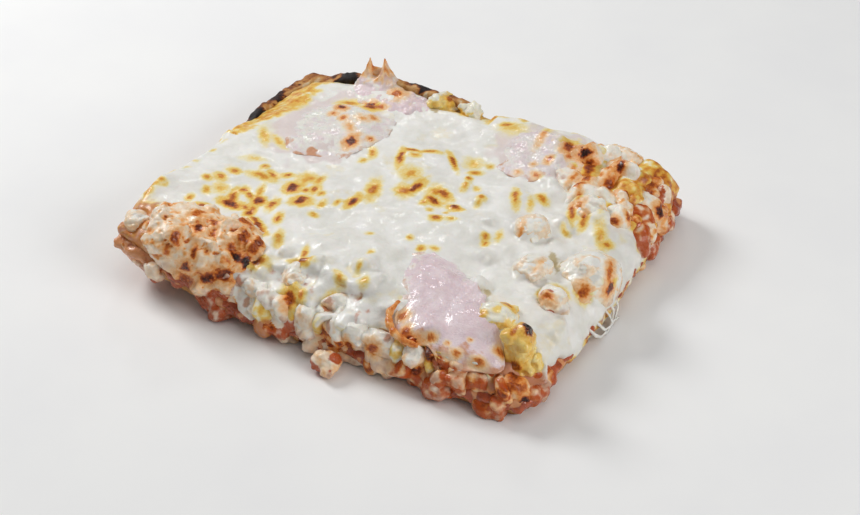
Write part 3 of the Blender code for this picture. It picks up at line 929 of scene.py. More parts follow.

# Crevices of the cheese along the front: partly stained by sauce and meat juice, partly painted crevice
# shade.
STAIN_AND_SHADE_MARKS = (
    Mark(9.2, -68.7, 1.7, 4.2, 0, 0.95),
    Mark(14.2, -77.8, 2.0, 4.2, 0, 0.95),
    Mark(24.3, -82.8, 2.6, 1.8, 0, 0.8),
    Mark(34.8, -81.7, 3.4, 1.4, 10, 0.8),
    Mark(8.0, -87.0, 1.6, 2.6, 0, 0.7),
    Mark(0.2, -81.9, 1.4, 3.4, 0, 0.75),
    Mark(-4.4, -87.9, 2.4, 1.8, 0, 0.8),
    Mark(-15.8, -79.8, 1.3, 3.8, 0, 0.8),
    Mark(20.4, -69.7, 1.0, 3.6, 10, 0.6),
    Mark(0.1, -63.9, 1.0, 3.0, 20, 0.5),
    Mark(34.7, -73.7, 1.2, 2.8, 0, 0.7),
    Mark(-23.9, -71.9, 1.8, 2.2, 0, 0.8),
)

# Burnt and baked places at the front right corner and along the front, and painted shade in the dark cavities
# under the front ham slice.
FRONT_MARKS = (
    Mark(87.6, -80.7, 2.4, 3.0, 0, 1.0),
    Mark(79.3, -81.5, 3.0, 2.4, 0, 0.72),
    Mark(81.3, -75.0, 4.0, 2.0, 20, 0.58),
    Mark(75.7, -88.2, 4.0, 3.0, 0, 0.60),
    Mark(82.9, -54.5, 2.0, 3.0, 20, 1.0),
    Mark(-4.1, -71.0, 2.0, 4.4, 20, 0.66),
    # Brown pieces and painted shade of the dark cavities under and beside the front ham slice.
    Mark(44.5, -71.3, 3.0, 2.0, 20, 0.8),
    Mark(49.7, -73.6, 2.0, 3.6, 0, 0.92),
    Mark(50.0, -84.1, 3.4, 1.8, 10, 0.78),
    Mark(43.9, -83.6, 2.4, 2.2, 0, 0.62),
    Mark(58.5, -78.4, 2.6, 1.6, 0, 0.56),
    Mark(68.0, -81.6, 4.0, 1.8, 10, 0.5),
    Mark(71.9, -74.0, 2.2, 2.2, 0, 0.62),
    Mark(66.7, -89.9, 6.0, 1.8, 10, 0.66),
    Mark(79.4, -77.6, 2.6, 2.4, 0, 0.62),
    Mark(32.7, -80.6, 2.4, 1.6, 0, 0.58),
    Mark(25.1, -82.9, 1.6, 3.2, 0, 0.66),
    Mark(13.8, -80.4, 1.4, 4.0, 0, 0.6),
)

# Scorched places of the pieces heaped at the back right corner.
CORNER_MARKS = (
    Mark(74.4, 42.5, 5.0, 4.0, -20, 1.0),
    Mark(86.6, 38.0, 2.4, 3.0, 0, 1.0),
    Mark(84.4, 33.0, 2.5, 3.0, 0, 0.85),
    Mark(62.5, 38.0, 2.6, 3.2, 0, 0.66),
    Mark(70.6, 38.0, 2.2, 2.2, 0, 0.72),
    Mark(70.6, 32.2, 1.9, 1.9, 0, 0.66),
    Mark(76.0, 24.4, 2.0, 1.2, -30, 0.60),
    Mark(72.5, 20.0, 2.2, 1.6, 0, 0.62),
    Mark(80.6, 26.0, 1.2, 4.0, 15, 0.52),
    Mark(60.6, 51.0, 1.6, 3.0, 0, 0.85),
    Mark(57.0, 60.0, 3.6, 2.6, -20, 0.45),
    Mark(64.0, 56.5, 2.2, 3.8, 15, 0.60),
)


class Skin(Enum):
    """How the outside of a chopped piece looks."""

    PALE = "pale"
    BROWNED = "browned"
    PINKISH = "pinkish"
    SOAKED = "soaked"
    SCORCHED = "scorched"


@dataclass(frozen=True)
class Lamp:
    """One square soft light: its place and side in metres, its power in watts and its sRGB colour."""

    name: str
    place: Way
    size: float
    power: float
    colour: str


@dataclass
class Studio:
    """The pale floor, the soft lights and the camera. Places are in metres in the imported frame."""

    floor_size: float = 3.0
    # How many faces the floor has along a side, and how far it lies below the slice.
    floor_steps: int = 24
    floor_gap: float = 0.0002
    # How high its far side rises over which distance, and where the rise begins.
    rise: float = 0.25
    rise_length: float = 0.6
    rise_start: float = 0.9
    world_grey: str = "#F2F4F7"
    world_power: float = 0.20
    lamps: tuple[Lamp, ...] = (
        Lamp("window", (-0.75, 0.15, 0.62), 0.35, 5.9, "#FFFFFF"),
        Lamp("ceiling", (0.10, -0.05, 1.0), 0.8, 1.55, "#FFFEFC"),
        Lamp("fill", (0.85, -0.10, 0.50), 0.5, 3.8, "#FFFEFC"),
        Lamp("sparkle", (-0.38, 0.70, 0.62), 0.12, 0.5, "#FFFFFF"),
    )

    def build(self) -> None:
        """Makes the floor, the lights, the surrounding light and the camera."""
        self.lay_floor()
        for lamp in self.lamps:
            self.hang(lamp)
        self.surround()
        self.set_camera()
        bpy.context.scene.view_settings.view_transform = "Standard"

    def lay_floor(self) -> None:
        """A large board with a faint lift at its far side."""
        half = self.floor_size / 2
        line = np.linspace(-half, half, self.floor_steps + 1)
        bm = bmesh.new()
        grid = []
        for y in line:
            lift = self.rise * max(0.0, (y - self.rise_start) / self.rise_length) ** 2
            grid.append([bm.verts.new((x, y, lift - self.floor_gap)) for x in line])
        for low, high in zip(grid, grid[1:]):
            for i in range(self.floor_steps):
                bm.faces.new((low[i], low[i + 1], high[i + 1], high[i]))
        mesh = bpy.data.meshes.new("studio_floor")
        bm.to_mesh(mesh)
        bm.free()
        mesh.shade_smooth()
        mesh.materials.append(STUDIO_BOARD.material())
        floor = bpy.data.objects.new("studio_floor", mesh)
        bpy.context.scene.collection.objects.link(floor)

    def hang(self, lamp: Lamp) -> None:
        """Hangs one light so that it faces the slice."""
        data = bpy.data.lights.new(lamp.name, "AREA")
        data.shape = "SQUARE"
        data.size = lamp.size
        data.energy = lamp.power
        data.color = linear(lamp.colour)[:3]
        hung = bpy.data.objects.new(lamp.name, data)
        hung.location = lamp.place
        hung.rotation_mode = "QUATERNION"
        hung.rotation_quaternion = (-Vector(lamp.place)).to_track_quat("-Z", "Y")
        bpy.context.scene.collection.objects.link(hung)

    def surround(self) -> None:
        """Even pale light from all round."""
        world = bpy.data.worlds.new("studio")
        world.use_nodes = True
        back = world.node_tree.nodes["Background"]
        back.inputs["Color"].default_value = linear(self.world_grey)
        back.inputs["Strength"].default_value = self.world_power
        bpy.context.scene.world = world

    def set_camera(self) -> None:
        """A camera with the photograph's place and angle of view."""
        data = bpy.data.cameras.new("camera")
        data.lens = LENS
        data.sensor_width = SENSOR
        data.clip_start = 0.01
        data.clip_end = 20.0
        camera = bpy.data.objects.new("camera", data)
        camera.location = Vector(EYE * MM)
        camera.rotation_mode = "QUATERNION"
        camera.rotation_quaternion = Vector((LOOKS_AT - EYE) * MM).to_track_quat("-Z", "Y")
        bpy.context.scene.collection.objects.link(camera)
        bpy.context.scene.camera = camera


@dataclass
class CrustBase:
    """The baked base with its scorched rim."""

    grain: float = 0.95
    # Where the rim dips: its middle, its half widths and its depth.
    dip: tuple[float, float, float, float, float] = (-75.0, 53.0, 11.0, 13.0, 3.6)
    # Scorched places: x, y, reach and how dark.
    burnt: tuple[tuple[float, float, float, float], ...] = (
        (-27.5, 67.0, 6.5, 1.0),
        (-60.0, 60.0, 8.0, 1.0),
        (-78.0, 40.0, 7.0, 0.8),
        (-76.0, 24.0, 7.0, 1.0),
        (-76.0, 11.0, 5.0, 1.0),
        (-12.0, 68.0, 4.0, 0.9),
    )

    def build(self) -> None:
        """Remakes the crust node as pored bread."""
        solid = melted([Solid.of_node("crust")], self.grain)
        solid.relax(3)
        lumps = 0.45 * noise(solid.points, 5.0, 11) + 0.30 * noise(solid.points, 2.2, 12)
        lumps += 0.5 * noise(solid.points, 3.2, 8) * smooth_step(9.0, 14.0, solid.points[:, 2])
        side = smooth_step(0.3, 1.5, solid.points[:, 2])
        solid.push(lumps * side)
        swollen = 0.75 + 0.7 * noise(solid.points * (1.0, 1.0, 0.0), 15.0, 10)
        swollen += 0.25 * noise(solid.points * (1.0, 1.0, 0.0), 6.0, 9)
        solid.points[:, 2] += 0.5 * swollen * smooth_step(9.0, 17.0, solid.points[:, 2])
        dip_x, dip_y, wide, long, deep = self.dip
        away = ((solid.points[:, 0] - dip_x) / wide, (solid.points[:, 1] - dip_y) / long)
        dipped = np.exp(-(away[0] ** 2) - away[1] ** 2)
        solid.points[:, 2] -= deep * dipped * smooth_step(9.0, 17.0, solid.points[:, 2])
        solid.points[:, 2] = np.maximum(solid.points[:, 2], 0.0)
        high = solid.points[:, 2]
        toast = 0.20 + 0.14 * noise(solid.points, 4.0, 13) + 0.10 * noise(solid.points, 1.4, 14)
        toast += 0.18 * smooth_step(2.0, 0.0, high)
        flecks = smooth_step(0.52, 0.72, noise(solid.points, 2.4, 15))
        toast = np.maximum(toast, 0.85 * flecks)
        rim = smooth_step(9.0, 15.0, high)
        patchy = 0.28 * noise(solid.points, 4.0, 16) + 0.2 * noise(solid.points, 1.8, 19)
        toast = np.maximum(toast, rim * (0.44 + patchy))
        uneven = high + 4.5 * noise(solid.points, 6.0, 20) + 1.6 * noise(solid.points, 2.4, 26)
        for x, y, reach, depth in self.burnt:
            away = np.hypot(solid.points[:, 0] - x, solid.points[:, 1] - y) / reach
            ragged = away + 0.5 * noise(solid.points, 4.5, 17) + 0.25 * noise(solid.points, 1.8, 25)
            toast = np.maximum(toast, depth * smooth_step(1.15, 0.5, ragged) * smooth_step(7.5, 14.5, uneven))
        solid.values["toast"] = np.clip(toast, 0.0, 1.0)
        streak = smooth_step(-0.25, 0.35, noise(solid.points, (4.0, 4.0, 9.0), 18))
        inward = -(solid.normals()[:, :2] * solid.points[:, :2]).sum(axis=1)
        inside = smooth_step(-5.0, 30.0, inward)
        pale = inside * rim * smooth_step(0.85, 0.6, toast)
        solid.values["toast"] = np.clip(solid.values["toast"] - 0.34 * pale, 0.0, 1.0)
        solid.values["film"] = 0.9 * streak * pale * (solid.values["toast"] < 0.3)
        solid.lay("baked_crust", BAKED_CRUST, ["crust"], "crust")


@dataclass
class SauceLayer:
    """The tomato sauce between crust and cheese, which shows along the cut sides."""

    grain: float = 0.8

    def build(self) -> None:
        """Remakes the sauce node as a lumpy, glossy band."""
        solid = melted([Solid.of_node("sauce").push(0.3)], self.grain)
        solid.relax(3)
        edge = smooth_step(60.0, 68.0, np.hypot(solid.points[:, 0] * 0.82, solid.points[:, 1]))
        lumps = 0.8 * noise(solid.points, 4.0, 21) + 0.6 * noise(solid.points, 1.9, 22)
        solid.push(lumps * (0.3 + 0.7 * edge))
        solid.points[:, 2] = np.maximum(solid.points[:, 2], 0.1)
        solid.values["toast"] = np.clip(0.12 + 0.25 * noise(solid.points, 3.0, 23), 0.0, 1.0)
        film = smooth_step(0.15, 0.5, noise(solid.points, 4.5, 24))
        tip = smooth_step(-56.0, -62.0, solid.points[:, 0]) * smooth_step(-38.0, -46.0, solid.points[:, 1])
        solid.values["film"] = np.maximum(film, tip * (0.75 + 0.3 * noise(solid.points, 2.0, 25)))
        solid.lay("sauce_band", TOMATO_SAUCE, ["sauce"], "sauce")


@dataclass
class CheeseBlanket:
    """The melted cheese over everything, as one skin round the cheese solid and what it hides."""

    grain: float = 0.82
    # How far it swells over its solid, and how far it stays below the pieces that stand out of it.
    swell: float = 0.6
    buried: float = -1.7
    # How many chopped bits it hides, and the least height that counts as its top.
    hidden: int = 95
    lowest_top: float = 12.0
    # Inner lines of the crust's raised rim, and a distance that stands for no rim near.
    rim_left: float = -81.0
    rim_back: float = 66.0
    no_rim: float = 99.0
    # Cheese that ran down the front: x, top, foot and half width.
    runs: tuple[tuple[float, float, float, float], ...] = (
        (-17.0, 14.0, 4.5, 3.9),
        (-7.0, 15.0, 8.0, 2.0),
        (3.5, 14.0, 7.0, 1.8),
        (12.5, 15.0, 6.0, 2.4),
        (22.5, 15.0, 8.0, 1.8),
        (33.5, 15.0, 5.5, 2.2),
        (45.5, 13.0, 8.5, 1.7),
        (68.5, 13.0, 9.0, 1.8),
    )
    # How far the cheese stands over pieces that it covers, in millimetres.
    over: dict[str, float] = field(
        default_factory=lambda: {
            "chicken_mid_a": -0.5,
            "chicken_mid_b": -0.6,
            "chicken_mid_c": -0.6,
            "chicken_right": -0.7,
            "ham_back_left": 0.3,
            "ham_back_right": 0.3,
            "ham_front": -0.3,
            "ham_back_peak": -0.3,
        }
    )

    def build(self) -> Solid:
        """Makes the blanket.

        Returns:
            Its solid, for pieces that lie on it.
        """
        parts = [Solid.of_node("cheese").push(self.swell)]
        for name in sorted(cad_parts):
            if name.startswith(("chicken_", "fruit_", "ham_")):
                chop = CHICKEN_CHOPS.get(name, FRUIT_CHOPS.get(name, Chop(Skin.PALE)))
                part = enlarged(name, chop).push(self.over.get(name, self.buried))
                if name.startswith("ham_"):
                    part.points[:, 2] = np.minimum(part.points[:, 2], 24.5)
                parts.append(part)
        surface = parts[0].tree()
        parts += self.hidden_bits(surface)
        parts += self.front_lumps(surface)
        parts += self.front_runs(surface)
        solid = melted(parts, self.grain)
        lumpy = smooth_step(-40.0, -48.0, solid.points[:, 1])
        lumpy = np.maximum(lumpy, 0.6 * smooth_step(35.0, 50.0, solid.points[:, 0]))
        solid.relax(13, 0.5, 1.0 - 0.78 * lumpy)
        up = smooth_step(-0.1, 0.5, solid.normals()[:, 2])
        here = solid.points
        swirl = here + 2.0 * np.stack([noise(here, 9.0, seed) for seed in (31, 32, 33)], axis=1)
        relief = 0.75 * noise(swirl, 9.0, 34) + 0.26 * noise(swirl, 4.2, 35) + 0.08 * noise(swirl, 1.9, 36)
        relief += 0.20 * np.maximum(ridges(swirl, 11.0, 37), 0.0)
        relief *= 1.0 + 0.5 * smooth_step(10.0, 45.0, here[:, 0])
        fold = 1.3 * noise(here * (0.5, 1.0, 0.4), 4.5, 30) + 0.5 * noise(here, 2.4, 29)
        drape = smooth_step(68.0, 76.0, here[:, 0]) * (1.0 - 0.5 * up)
        drape = np.maximum(drape, 0.8 * (1.0 - up) * smooth_step(-40.0, -30.0, here[:, 1]))
        solid.push(relief * (0.35 + 0.65 * up) + fold * drape)
        self.clear_rim(solid)
        self.open_front(solid)
        tree = solid.tree()
        toast = browned(solid.points, CHEESE_MARKS, tree, 41)
        solid.push(0.25 * smooth_step(0.25, 0.6, toast) * up)
        solid.relax(1, 0.4)
        solid.points[:, 2] = np.maximum(solid.points[:, 2], 0.1)
        self.paint(solid, tree, toast, up)
        solid.lay("cheese_blanket", MELTED_CHEESE, ["cheese"], "cheese")
        return solid

    def hidden_bits(self, tree: BVHTree) -> list[Solid]:
        """Chopped bits just under the cheese, which give it its lumps.

        Args:
            tree: the cheese without them.

        Returns:
            The bits.
        """
        draw = np.random.default_rng(38)
        bits = []
        while len(bits) < self.hidden:
            x, y = draw.uniform(-70.0, 76.0), draw.uniform(-58.0, 58.0)
            half = draw.uniform(3.6, 6.6) * draw.uniform(0.8, 1.25, 3)
            right = float(smooth_step(0.0, 40.0, np.array(x)))
            front = float(smooth_step(-28.0, -42.0, np.array(y)))
            if draw.uniform() > 0.10 + 0.90 * max(right, front):
                continue
            hit = tree.ray_cast(Vector((x, y, FAR_ABOVE)), Vector((0.0, 0.0, -1.0)))
            if hit[0] is None or hit[0].z < self.lowest_top:
                continue
            sunk = 0.72 * half.mean() - draw.uniform(0.0, 1.2)
            bits.append(chopped_bit(np.array((x, y, hit[0].z - sunk)), half, draw))
        middles = [bit.points.mean(axis=0) for bit in bits]
        flat = [x < 10 and y > -38 or x < 27 and y > 34 for x, y, _ in middles]
        return [bit for bit, lies_flat in zip(bits, flat) if not lies_flat]

    def front_lumps(self, tree: BVHTree) -> list[Solid]:
        """Lumps heaped along the front edge, as the filling pushes the cheese up there.

        Args:
            tree: the cheese without them.

        Returns:
            The lumps.
        """
        draw = np.random.default_rng(27)
        bits = []
        columns, rows = np.arange(-31.0, 21.0, 5.2), (-64.0, -58.5, -53.0, -47.5)
        for x, y in ((x, y) for y in rows for x in columns):
            place = np.array((x, y)) + draw.normal(size=2) * 1.3
            half = draw.uniform(2.8, 4.4) * draw.uniform(0.8, 1.3, 3)
            kept = draw.uniform() < 0.8
            hit = tree.ray_cast(Vector((*place, FAR_ABOVE)), Vector((0.0, 0.0, -1.0)))
            if kept and hit[0] is not None and hit[0].z > self.lowest_top:
                bits.append(chopped_bit(np.array((*place, hit[0].z - 0.4 * half.mean())), half, draw))
        return bits

    def front_runs(self, tree: BVHTree) -> list[Solid]:
        """Cheese that ran down the front cut side, as chains of bits.

        Args:
            tree: the cheese without them.

        Returns:
            The bits.
        """
        draw = np.random.default_rng(28)
        bits = []
        for x, top, foot, half in self.runs:
            for z in np.arange(foot, top, 1.6):
                hit = tree.ray_cast(Vector((x, FAR_FRONT, max(z, 9.5))), Vector((0.0, 1.0, 0.0)))
                if hit[0] is None:
                    continue
                swing = 0.5 * math.sin(0.7 * z + x)
                middle = np.array((x + swing, hit[0].y + 0.4, z))
                bits.append(chopped_bit(middle, half * draw.uniform(0.85, 1.15, 3), draw))
        return bits

    def clear_rim(self, solid: Solid) -> None:
        """Lowers the cheese beside the crust's raised rim, so that the rim stands proud."""
        here = solid.points
        from_left = np.where(here[:, 1] > 6.0, here[:, 0] - self.rim_left, self.no_rim)
        from_back = np.where(here[:, 0] < 4.0, self.rim_back - here[:, 1], self.no_rim)
        near = smooth_step(13.0, 4.0, np.minimum(from_left, from_back))
        here[:, 2] -= 2.6 * near * smooth_step(10.0, 16.0, here[:, 2])

    def open_front(self, solid: Solid) -> None:
        """Draws the cheese back from the front cut side where the chopped filling shows."""
        here = solid.points
        front = smooth_step(-54.0, -62.0, here[:, 1]) * smooth_step(17.5, 13.0, here[:, 2])
        runs = smooth_step(0.25, 0.5, noise(here * (1.0, 0.0, 0.25), 6.0, 39))
        for x, _, _, half in self.runs:
            runs = np.maximum(runs, smooth_step(half + 1.0, half - 0.6, np.abs(here[:, 0] - x)))
        here[:, 1] += 2.6 * front * (1.0 - runs)
        corner = smooth_step(63.0, 69.0, here[:, 0]) * smooth_step(-47.0, -54.0, here[:, 1])
        here[:, 2] -= 4.5 * corner * smooth_step(9.0, 15.0, here[:, 2])

    def paint(self, solid: Solid, tree: BVHTree, toast: np.ndarray, up: np.ndarray) -> None:
        """Puts the blanket's painted shares on its points.

        Args:
            solid: the blanket.
            tree: its surface.
            toast: how far each point is browned.
            up: 1 where the surface faces up.
        """
        here = solid.points
        x, y, z = here.T
        creases = solid.hollows(30)
        hollow = smooth_step(0.15, 1.1, creases) * up
        coarse, fine = noise(here, 6.0, 46), noise(here, 2.0, 47)
        from_left = np.where(y > 4.0, x - self.rim_left, self.no_rim)
        from_left -= 8.0 * smooth_step(16.0, 26.0, y)
        from_back = np.where(x < 6.0, self.rim_back - y, self.no_rim)
        rim = smooth_step(12.0, 6.0, np.minimum(from_left, from_back) + 3.0 * coarse)
        streaks = noise(here, (2.2, 2.2, 6.0), 45)
        to_rim = np.where(x < 4.0, np.minimum(x - self.rim_left, self.no_rim), self.rim_back - y)
        bare = smooth_step(7.0, 2.5, to_rim + 2.0 * coarse)
        bare *= smooth_step(-0.1, 0.5, noise(here, 5.0, 44))
        toast = np.maximum(toast, bare * (0.30 + 0.30 * fine))
        toast = np.maximum(toast, rim * (0.28 + 0.22 * fine + 0.16 * streaks))
        far_corner = smooth_step(47.0, 62.0, x + 6.0 * coarse) * smooth_step(20.0, 34.0, y + 6.0 * coarse)
        deeper = 0.16 * smooth_step(64.0, 74.0, x)
        toast = np.maximum(toast, far_corner * (0.24 + deeper + 0.34 * fine + 0.2 * coarse))
        left_tip = smooth_step(-58.0, -68.0, x + 3.0 * coarse) * smooth_step(-44.0, -52.0, y + 3.0 * fine)
        front = smooth_step(-52.0, -62.0, y + 4.0 * coarse) * smooth_step(18.0, 13.0, z)
        side = smooth_step(75.0, 81.0, x) * smooth_step(8.0, 3.5, z + 2.5 * fine)
        toast = np.maximum(toast, np.maximum(0.9 * left_tip, 0.8 * front) * (0.22 + 0.30 * fine))
        toast = np.maximum(toast, side * (0.25 + 0.35 * coarse + 0.3 * fine))
        solid.values["toast"] = np.clip(toast, 0.0, 1.0)
        # Olive juice places, partly painted shade in the hollows between pieces.
        solid.values["juice"] = browned(here, JUICE_AND_SHADE_MARKS, tree, 48)
        patches = smooth_step(0.15, 0.65, noise(here, 13.0, 42) + 0.35 * noise(here, 3.0, 43))
        patches = np.maximum(patches, smooth_step(-42.0, -52.0, y) * smooth_step(-0.1, 0.4, coarse))
        heaped = smooth_step(-38.0, -46.0, y)
        oily = 0.4 * patches * up + (0.4 + 0.45 * heaped) * hollow + 0.6 * smooth_step(0.1, 0.3, toast)
        solid.values["oil"] = np.clip(oily, 0.0, 1.0)
        left = np.hypot((x + 47.0) / 22.0, (y - 26.0) / 27.0)
        right = np.hypot((x - 31.0) / 20.0, (y - 46.0) / 17.0)
        ragged = 0.25 * coarse
        pink = np.maximum(smooth_step(1.1, 0.75, left + ragged), smooth_step(1.1, 0.75, right + ragged))
        solid.values["pink"] = pink * up * smooth_step(13.0, 16.0, z)
        low = smooth_step(10.5, 7.0, z + 1.6 * coarse)
        patchy = smooth_step(-0.1, 0.5, 0.7 * coarse + 0.6 * fine)
        low *= 1.0 - smooth_step(70.0, 77.0, x) * smooth_step(-50.0, -44.0, y) * (1.0 - 0.8 * patchy)
        # Painted shade: creases of the front side and between the front lumps take the stain colour.
        front_crease_shade = front * smooth_step(0.0, 0.5, creases)
        runs = np.zeros(len(here))
        for run_x, _, _, half in self.runs:
            runs = np.maximum(runs, smooth_step(half + 1.2, half - 0.4, np.abs(x - run_x)))
        corner = smooth_step(63.0, 69.0, x + 2.0 * coarse) * smooth_step(-48.0, -54.0, y + 2.0 * coarse)
        lumps = 0.7 * smooth_step(-50.0, -58.0, y) * smooth_step(0.0, 0.45, creases)
        stain = low + front * (0.45 + 0.5 * fine) * (1.0 - 0.8 * runs) + front_crease_shade + 0.7 * left_tip
        stain = np.maximum(np.maximum(stain, 0.9 * corner), 0.9 * lumps * (0.7 + 0.8 * fine))
        wall = (1.0 - up) * smooth_step(18.0, 10.0, z + 2.5 * coarse) * smooth_step(-30.0, -20.0, y)
        stain = np.maximum(stain, wall * (0.35 + 0.6 * fine) * (x < 72.0))
        stain = np.maximum(stain, browned(here, STAIN_AND_SHADE_MARKS, tree, 49))
        solid.values["stain"] = np.clip(stain, 0.0, 1.0)


@dataclass
class Chop:
    """How one chopped piece is finished."""

    skin: Skin
    # How far cheese covers it, how rough it is, its faces' size and how many bits stick out of it.
    film: float = 0.0
    rough: float = 1.0
    grain: float = 0.55
    bits: int = 7
    # How much larger it is made than its node, and how far it is moved.
    scale: float = 1.0
    shift: Way = (0.0, 0.0, 0.0)
    # Sauce on it: x, y, z and reach.
    red_spots: tuple[tuple[float, float, float, float], ...] = ()
    marks: tuple[Mark, ...] = ()


def enlarged(name: str, chop: Chop) -> Solid:
    """A node's solid, made larger and moved as its finished piece is."""
    solid = Solid.of_node(name)
    middle = solid.points.mean(axis=0)
    solid.points = (solid.points - middle) * chop.scale + middle + np.array(chop.shift)
    return solid


@dataclass
class ChoppedPieces:
    """All the chopped pieces of one topping."""

    prefix: str
    finish: Finish
    slot: str
    chops: dict[str, Chop]
    plain: Chop = field(default_factory=lambda: Chop(Skin.PALE))

    def build(self) -> None:
        """Makes each piece from its CAD node."""
        for index, name in enumerate(sorted(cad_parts)):
            if name.startswith(self.prefix):
                self.piece(name, self.chops.get(name, self.plain), 100 + 7 * index)

    def piece(self, name: str, chop: Chop, seed: int) -> None:
        """Makes one piece: a torn and fibrous remake of its node.

        Args:
            name: the node's name.
            chop: how it is finished.
            seed: its own patterns.
        """
        draw = np.random.default_rng(seed)
        core = enlarged(name, chop)
        size = np.ptp(core.points, axis=0)
        middle = core.points.mean(axis=0)
        starts = core.points[draw.integers(len(core.points), size=chop.bits)]
        core.push(-0.5)
        bits = [core]
        for start in starts:
            half = min(size.min(), 13.0) * draw.uniform(0.20, 0.34) * draw.uniform(0.75, 1.3, 3)
            inward = (middle - start) / np.linalg.norm(middle - start)
            bits.append(chopped_bit(start + 0.62 * half.mean() * inward, half, draw))
        solid = melted(bits, chop.grain)
        solid.relax(2)
        here = solid.points
        lie = draw.uniform(0.0, math.pi)
        tilt = draw.uniform(-0.5, 0.5)
        grain_way = np.array((math.cos(lie) * math.cos(tilt), math.sin(lie) * math.cos(tilt), math.sin(tilt)))
        across = np.cross(grain_way, (0.0, 0.0, 1.0))
        across /= np.linalg.norm(across)
        frame_of = np.stack([grain_way, across, np.cross(grain_way, across)])
        turned = here @ frame_of.T
        relief = 0.50 * noise(here, 5.0, seed) + 0.35 * noise(turned, (5.0, 2.0, 2.0), seed + 1)
        relief += 0.20 * np.maximum(ridges(turned, (7.0, 1.7, 1.7), seed + 2), -1.0)
        relief += 0.14 * noise(here, 1.3, seed + 3)
        solid.push(relief * chop.rough)
        solid.points[:, 2] = np.maximum(solid.points[:, 2], 0.05)
        self.paint(solid, chop, seed)
        solid.lay(name + "_piece", self.finish, [name], self.slot)

    def paint(self, solid: Solid, chop: Chop, seed: int) -> None:
        """Puts the piece's painted shares on its points.

        Args:
            solid: the piece.
            chop: how it is finished.
            seed: its own patterns.
        """
        here = solid.points
        normal = solid.normals()
        top = smooth_step(-0.1, 0.75, normal[:, 2])
        height = (here[:, 2] - here[:, 2].min()) / np.ptp(here[:, 2])
        mottle = noise(here, 3.2, seed + 4)
        toast = {
            Skin.PALE: 0.06 + 0.20 * mottle,
            Skin.BROWNED: 0.08 + 0.30 * mottle + 0.25 * noise(here, 1.6, seed + 8),
            Skin.PINKISH: 0.08 + 0.18 * mottle,
            Skin.SOAKED: 0.12 + 0.26 * mottle + 0.16 * noise(here, 1.5, seed + 8),
            Skin.SCORCHED: 0.26 + 0.36 * mottle + 0.25 * smooth_step(0.6, 1.0, height),
        }[chop.skin]
        # Painted shade: creases get less cheese film, more pinkish brown and red, and on browned pieces more
        # browning.
        crease = smooth_step(0.04, 0.5, solid.hollows(14))
        cover = chop.film * (0.35 + 0.65 * top) * 1.6 + 0.5 * noise(here, 4.0, seed + 6) - 0.3 * crease
        film = smooth_step(0.35, 0.7, cover) if chop.film > 0 else np.zeros(len(here))
        solid.values["film"] = film
        toast = toast * (1.0 - 0.9 * film)
        if chop.marks:
            toast = np.maximum(toast, browned(here, chop.marks, solid.tree(), seed + 5))
        solid.values["toast"] = np.clip(toast, 0.0, 1.0)
        # Pinkish brown low down on each piece: partly soaked juice, partly painted shade.
        blush = smooth_step(0.75, 0.2, height + 0.3 * mottle)
        blush *= 1.0 if chop.skin is Skin.PINKISH else 0.5
        if chop.skin is Skin.SOAKED:
            blush = 0.75 + 0.5 * mottle
        # Sauce stain and painted crevice shade from the front crevice marks.
        crevice_stain_and_shade = browned(here, STAIN_AND_SHADE_MARKS, solid.tree(), seed + 9)
        solid.values["blush"] = np.clip(np.maximum(blush + 0.5 * crease, crevice_stain_and_shade), 0.0, 1.0)
        depth = {Skin.PALE: 0.35, Skin.PINKISH: 0.7, Skin.SOAKED: 0.9}.get(chop.skin, 0.3)
        low = smooth_step(8.0, 3.0, here[:, 2] + 2.0 * mottle)
        redness = depth * crease * (1.0 - 0.6 * film) + 0.5 * depth * low
        if chop.skin is Skin.SOAKED:
            redness = np.maximum(redness, 0.55 + 0.6 * mottle)
        for x, y, z, reach in chop.red_spots:
            away = np.linalg.norm(here - (x, y, z), axis=1) / reach + 0.25 * mottle
            redness = np.maximum(redness, smooth_step(1.1, 0.6, away))
        solid.values["red"] = np.clip(redness, 0.0, 1.0)
        if chop.skin in (Skin.BROWNED, Skin.SCORCHED):
            toast = np.maximum(solid.values["toast"], crease * (0.55 + 0.3 * mottle))
            solid.values["toast"] = np.clip(toast, 0.0, 1.0)


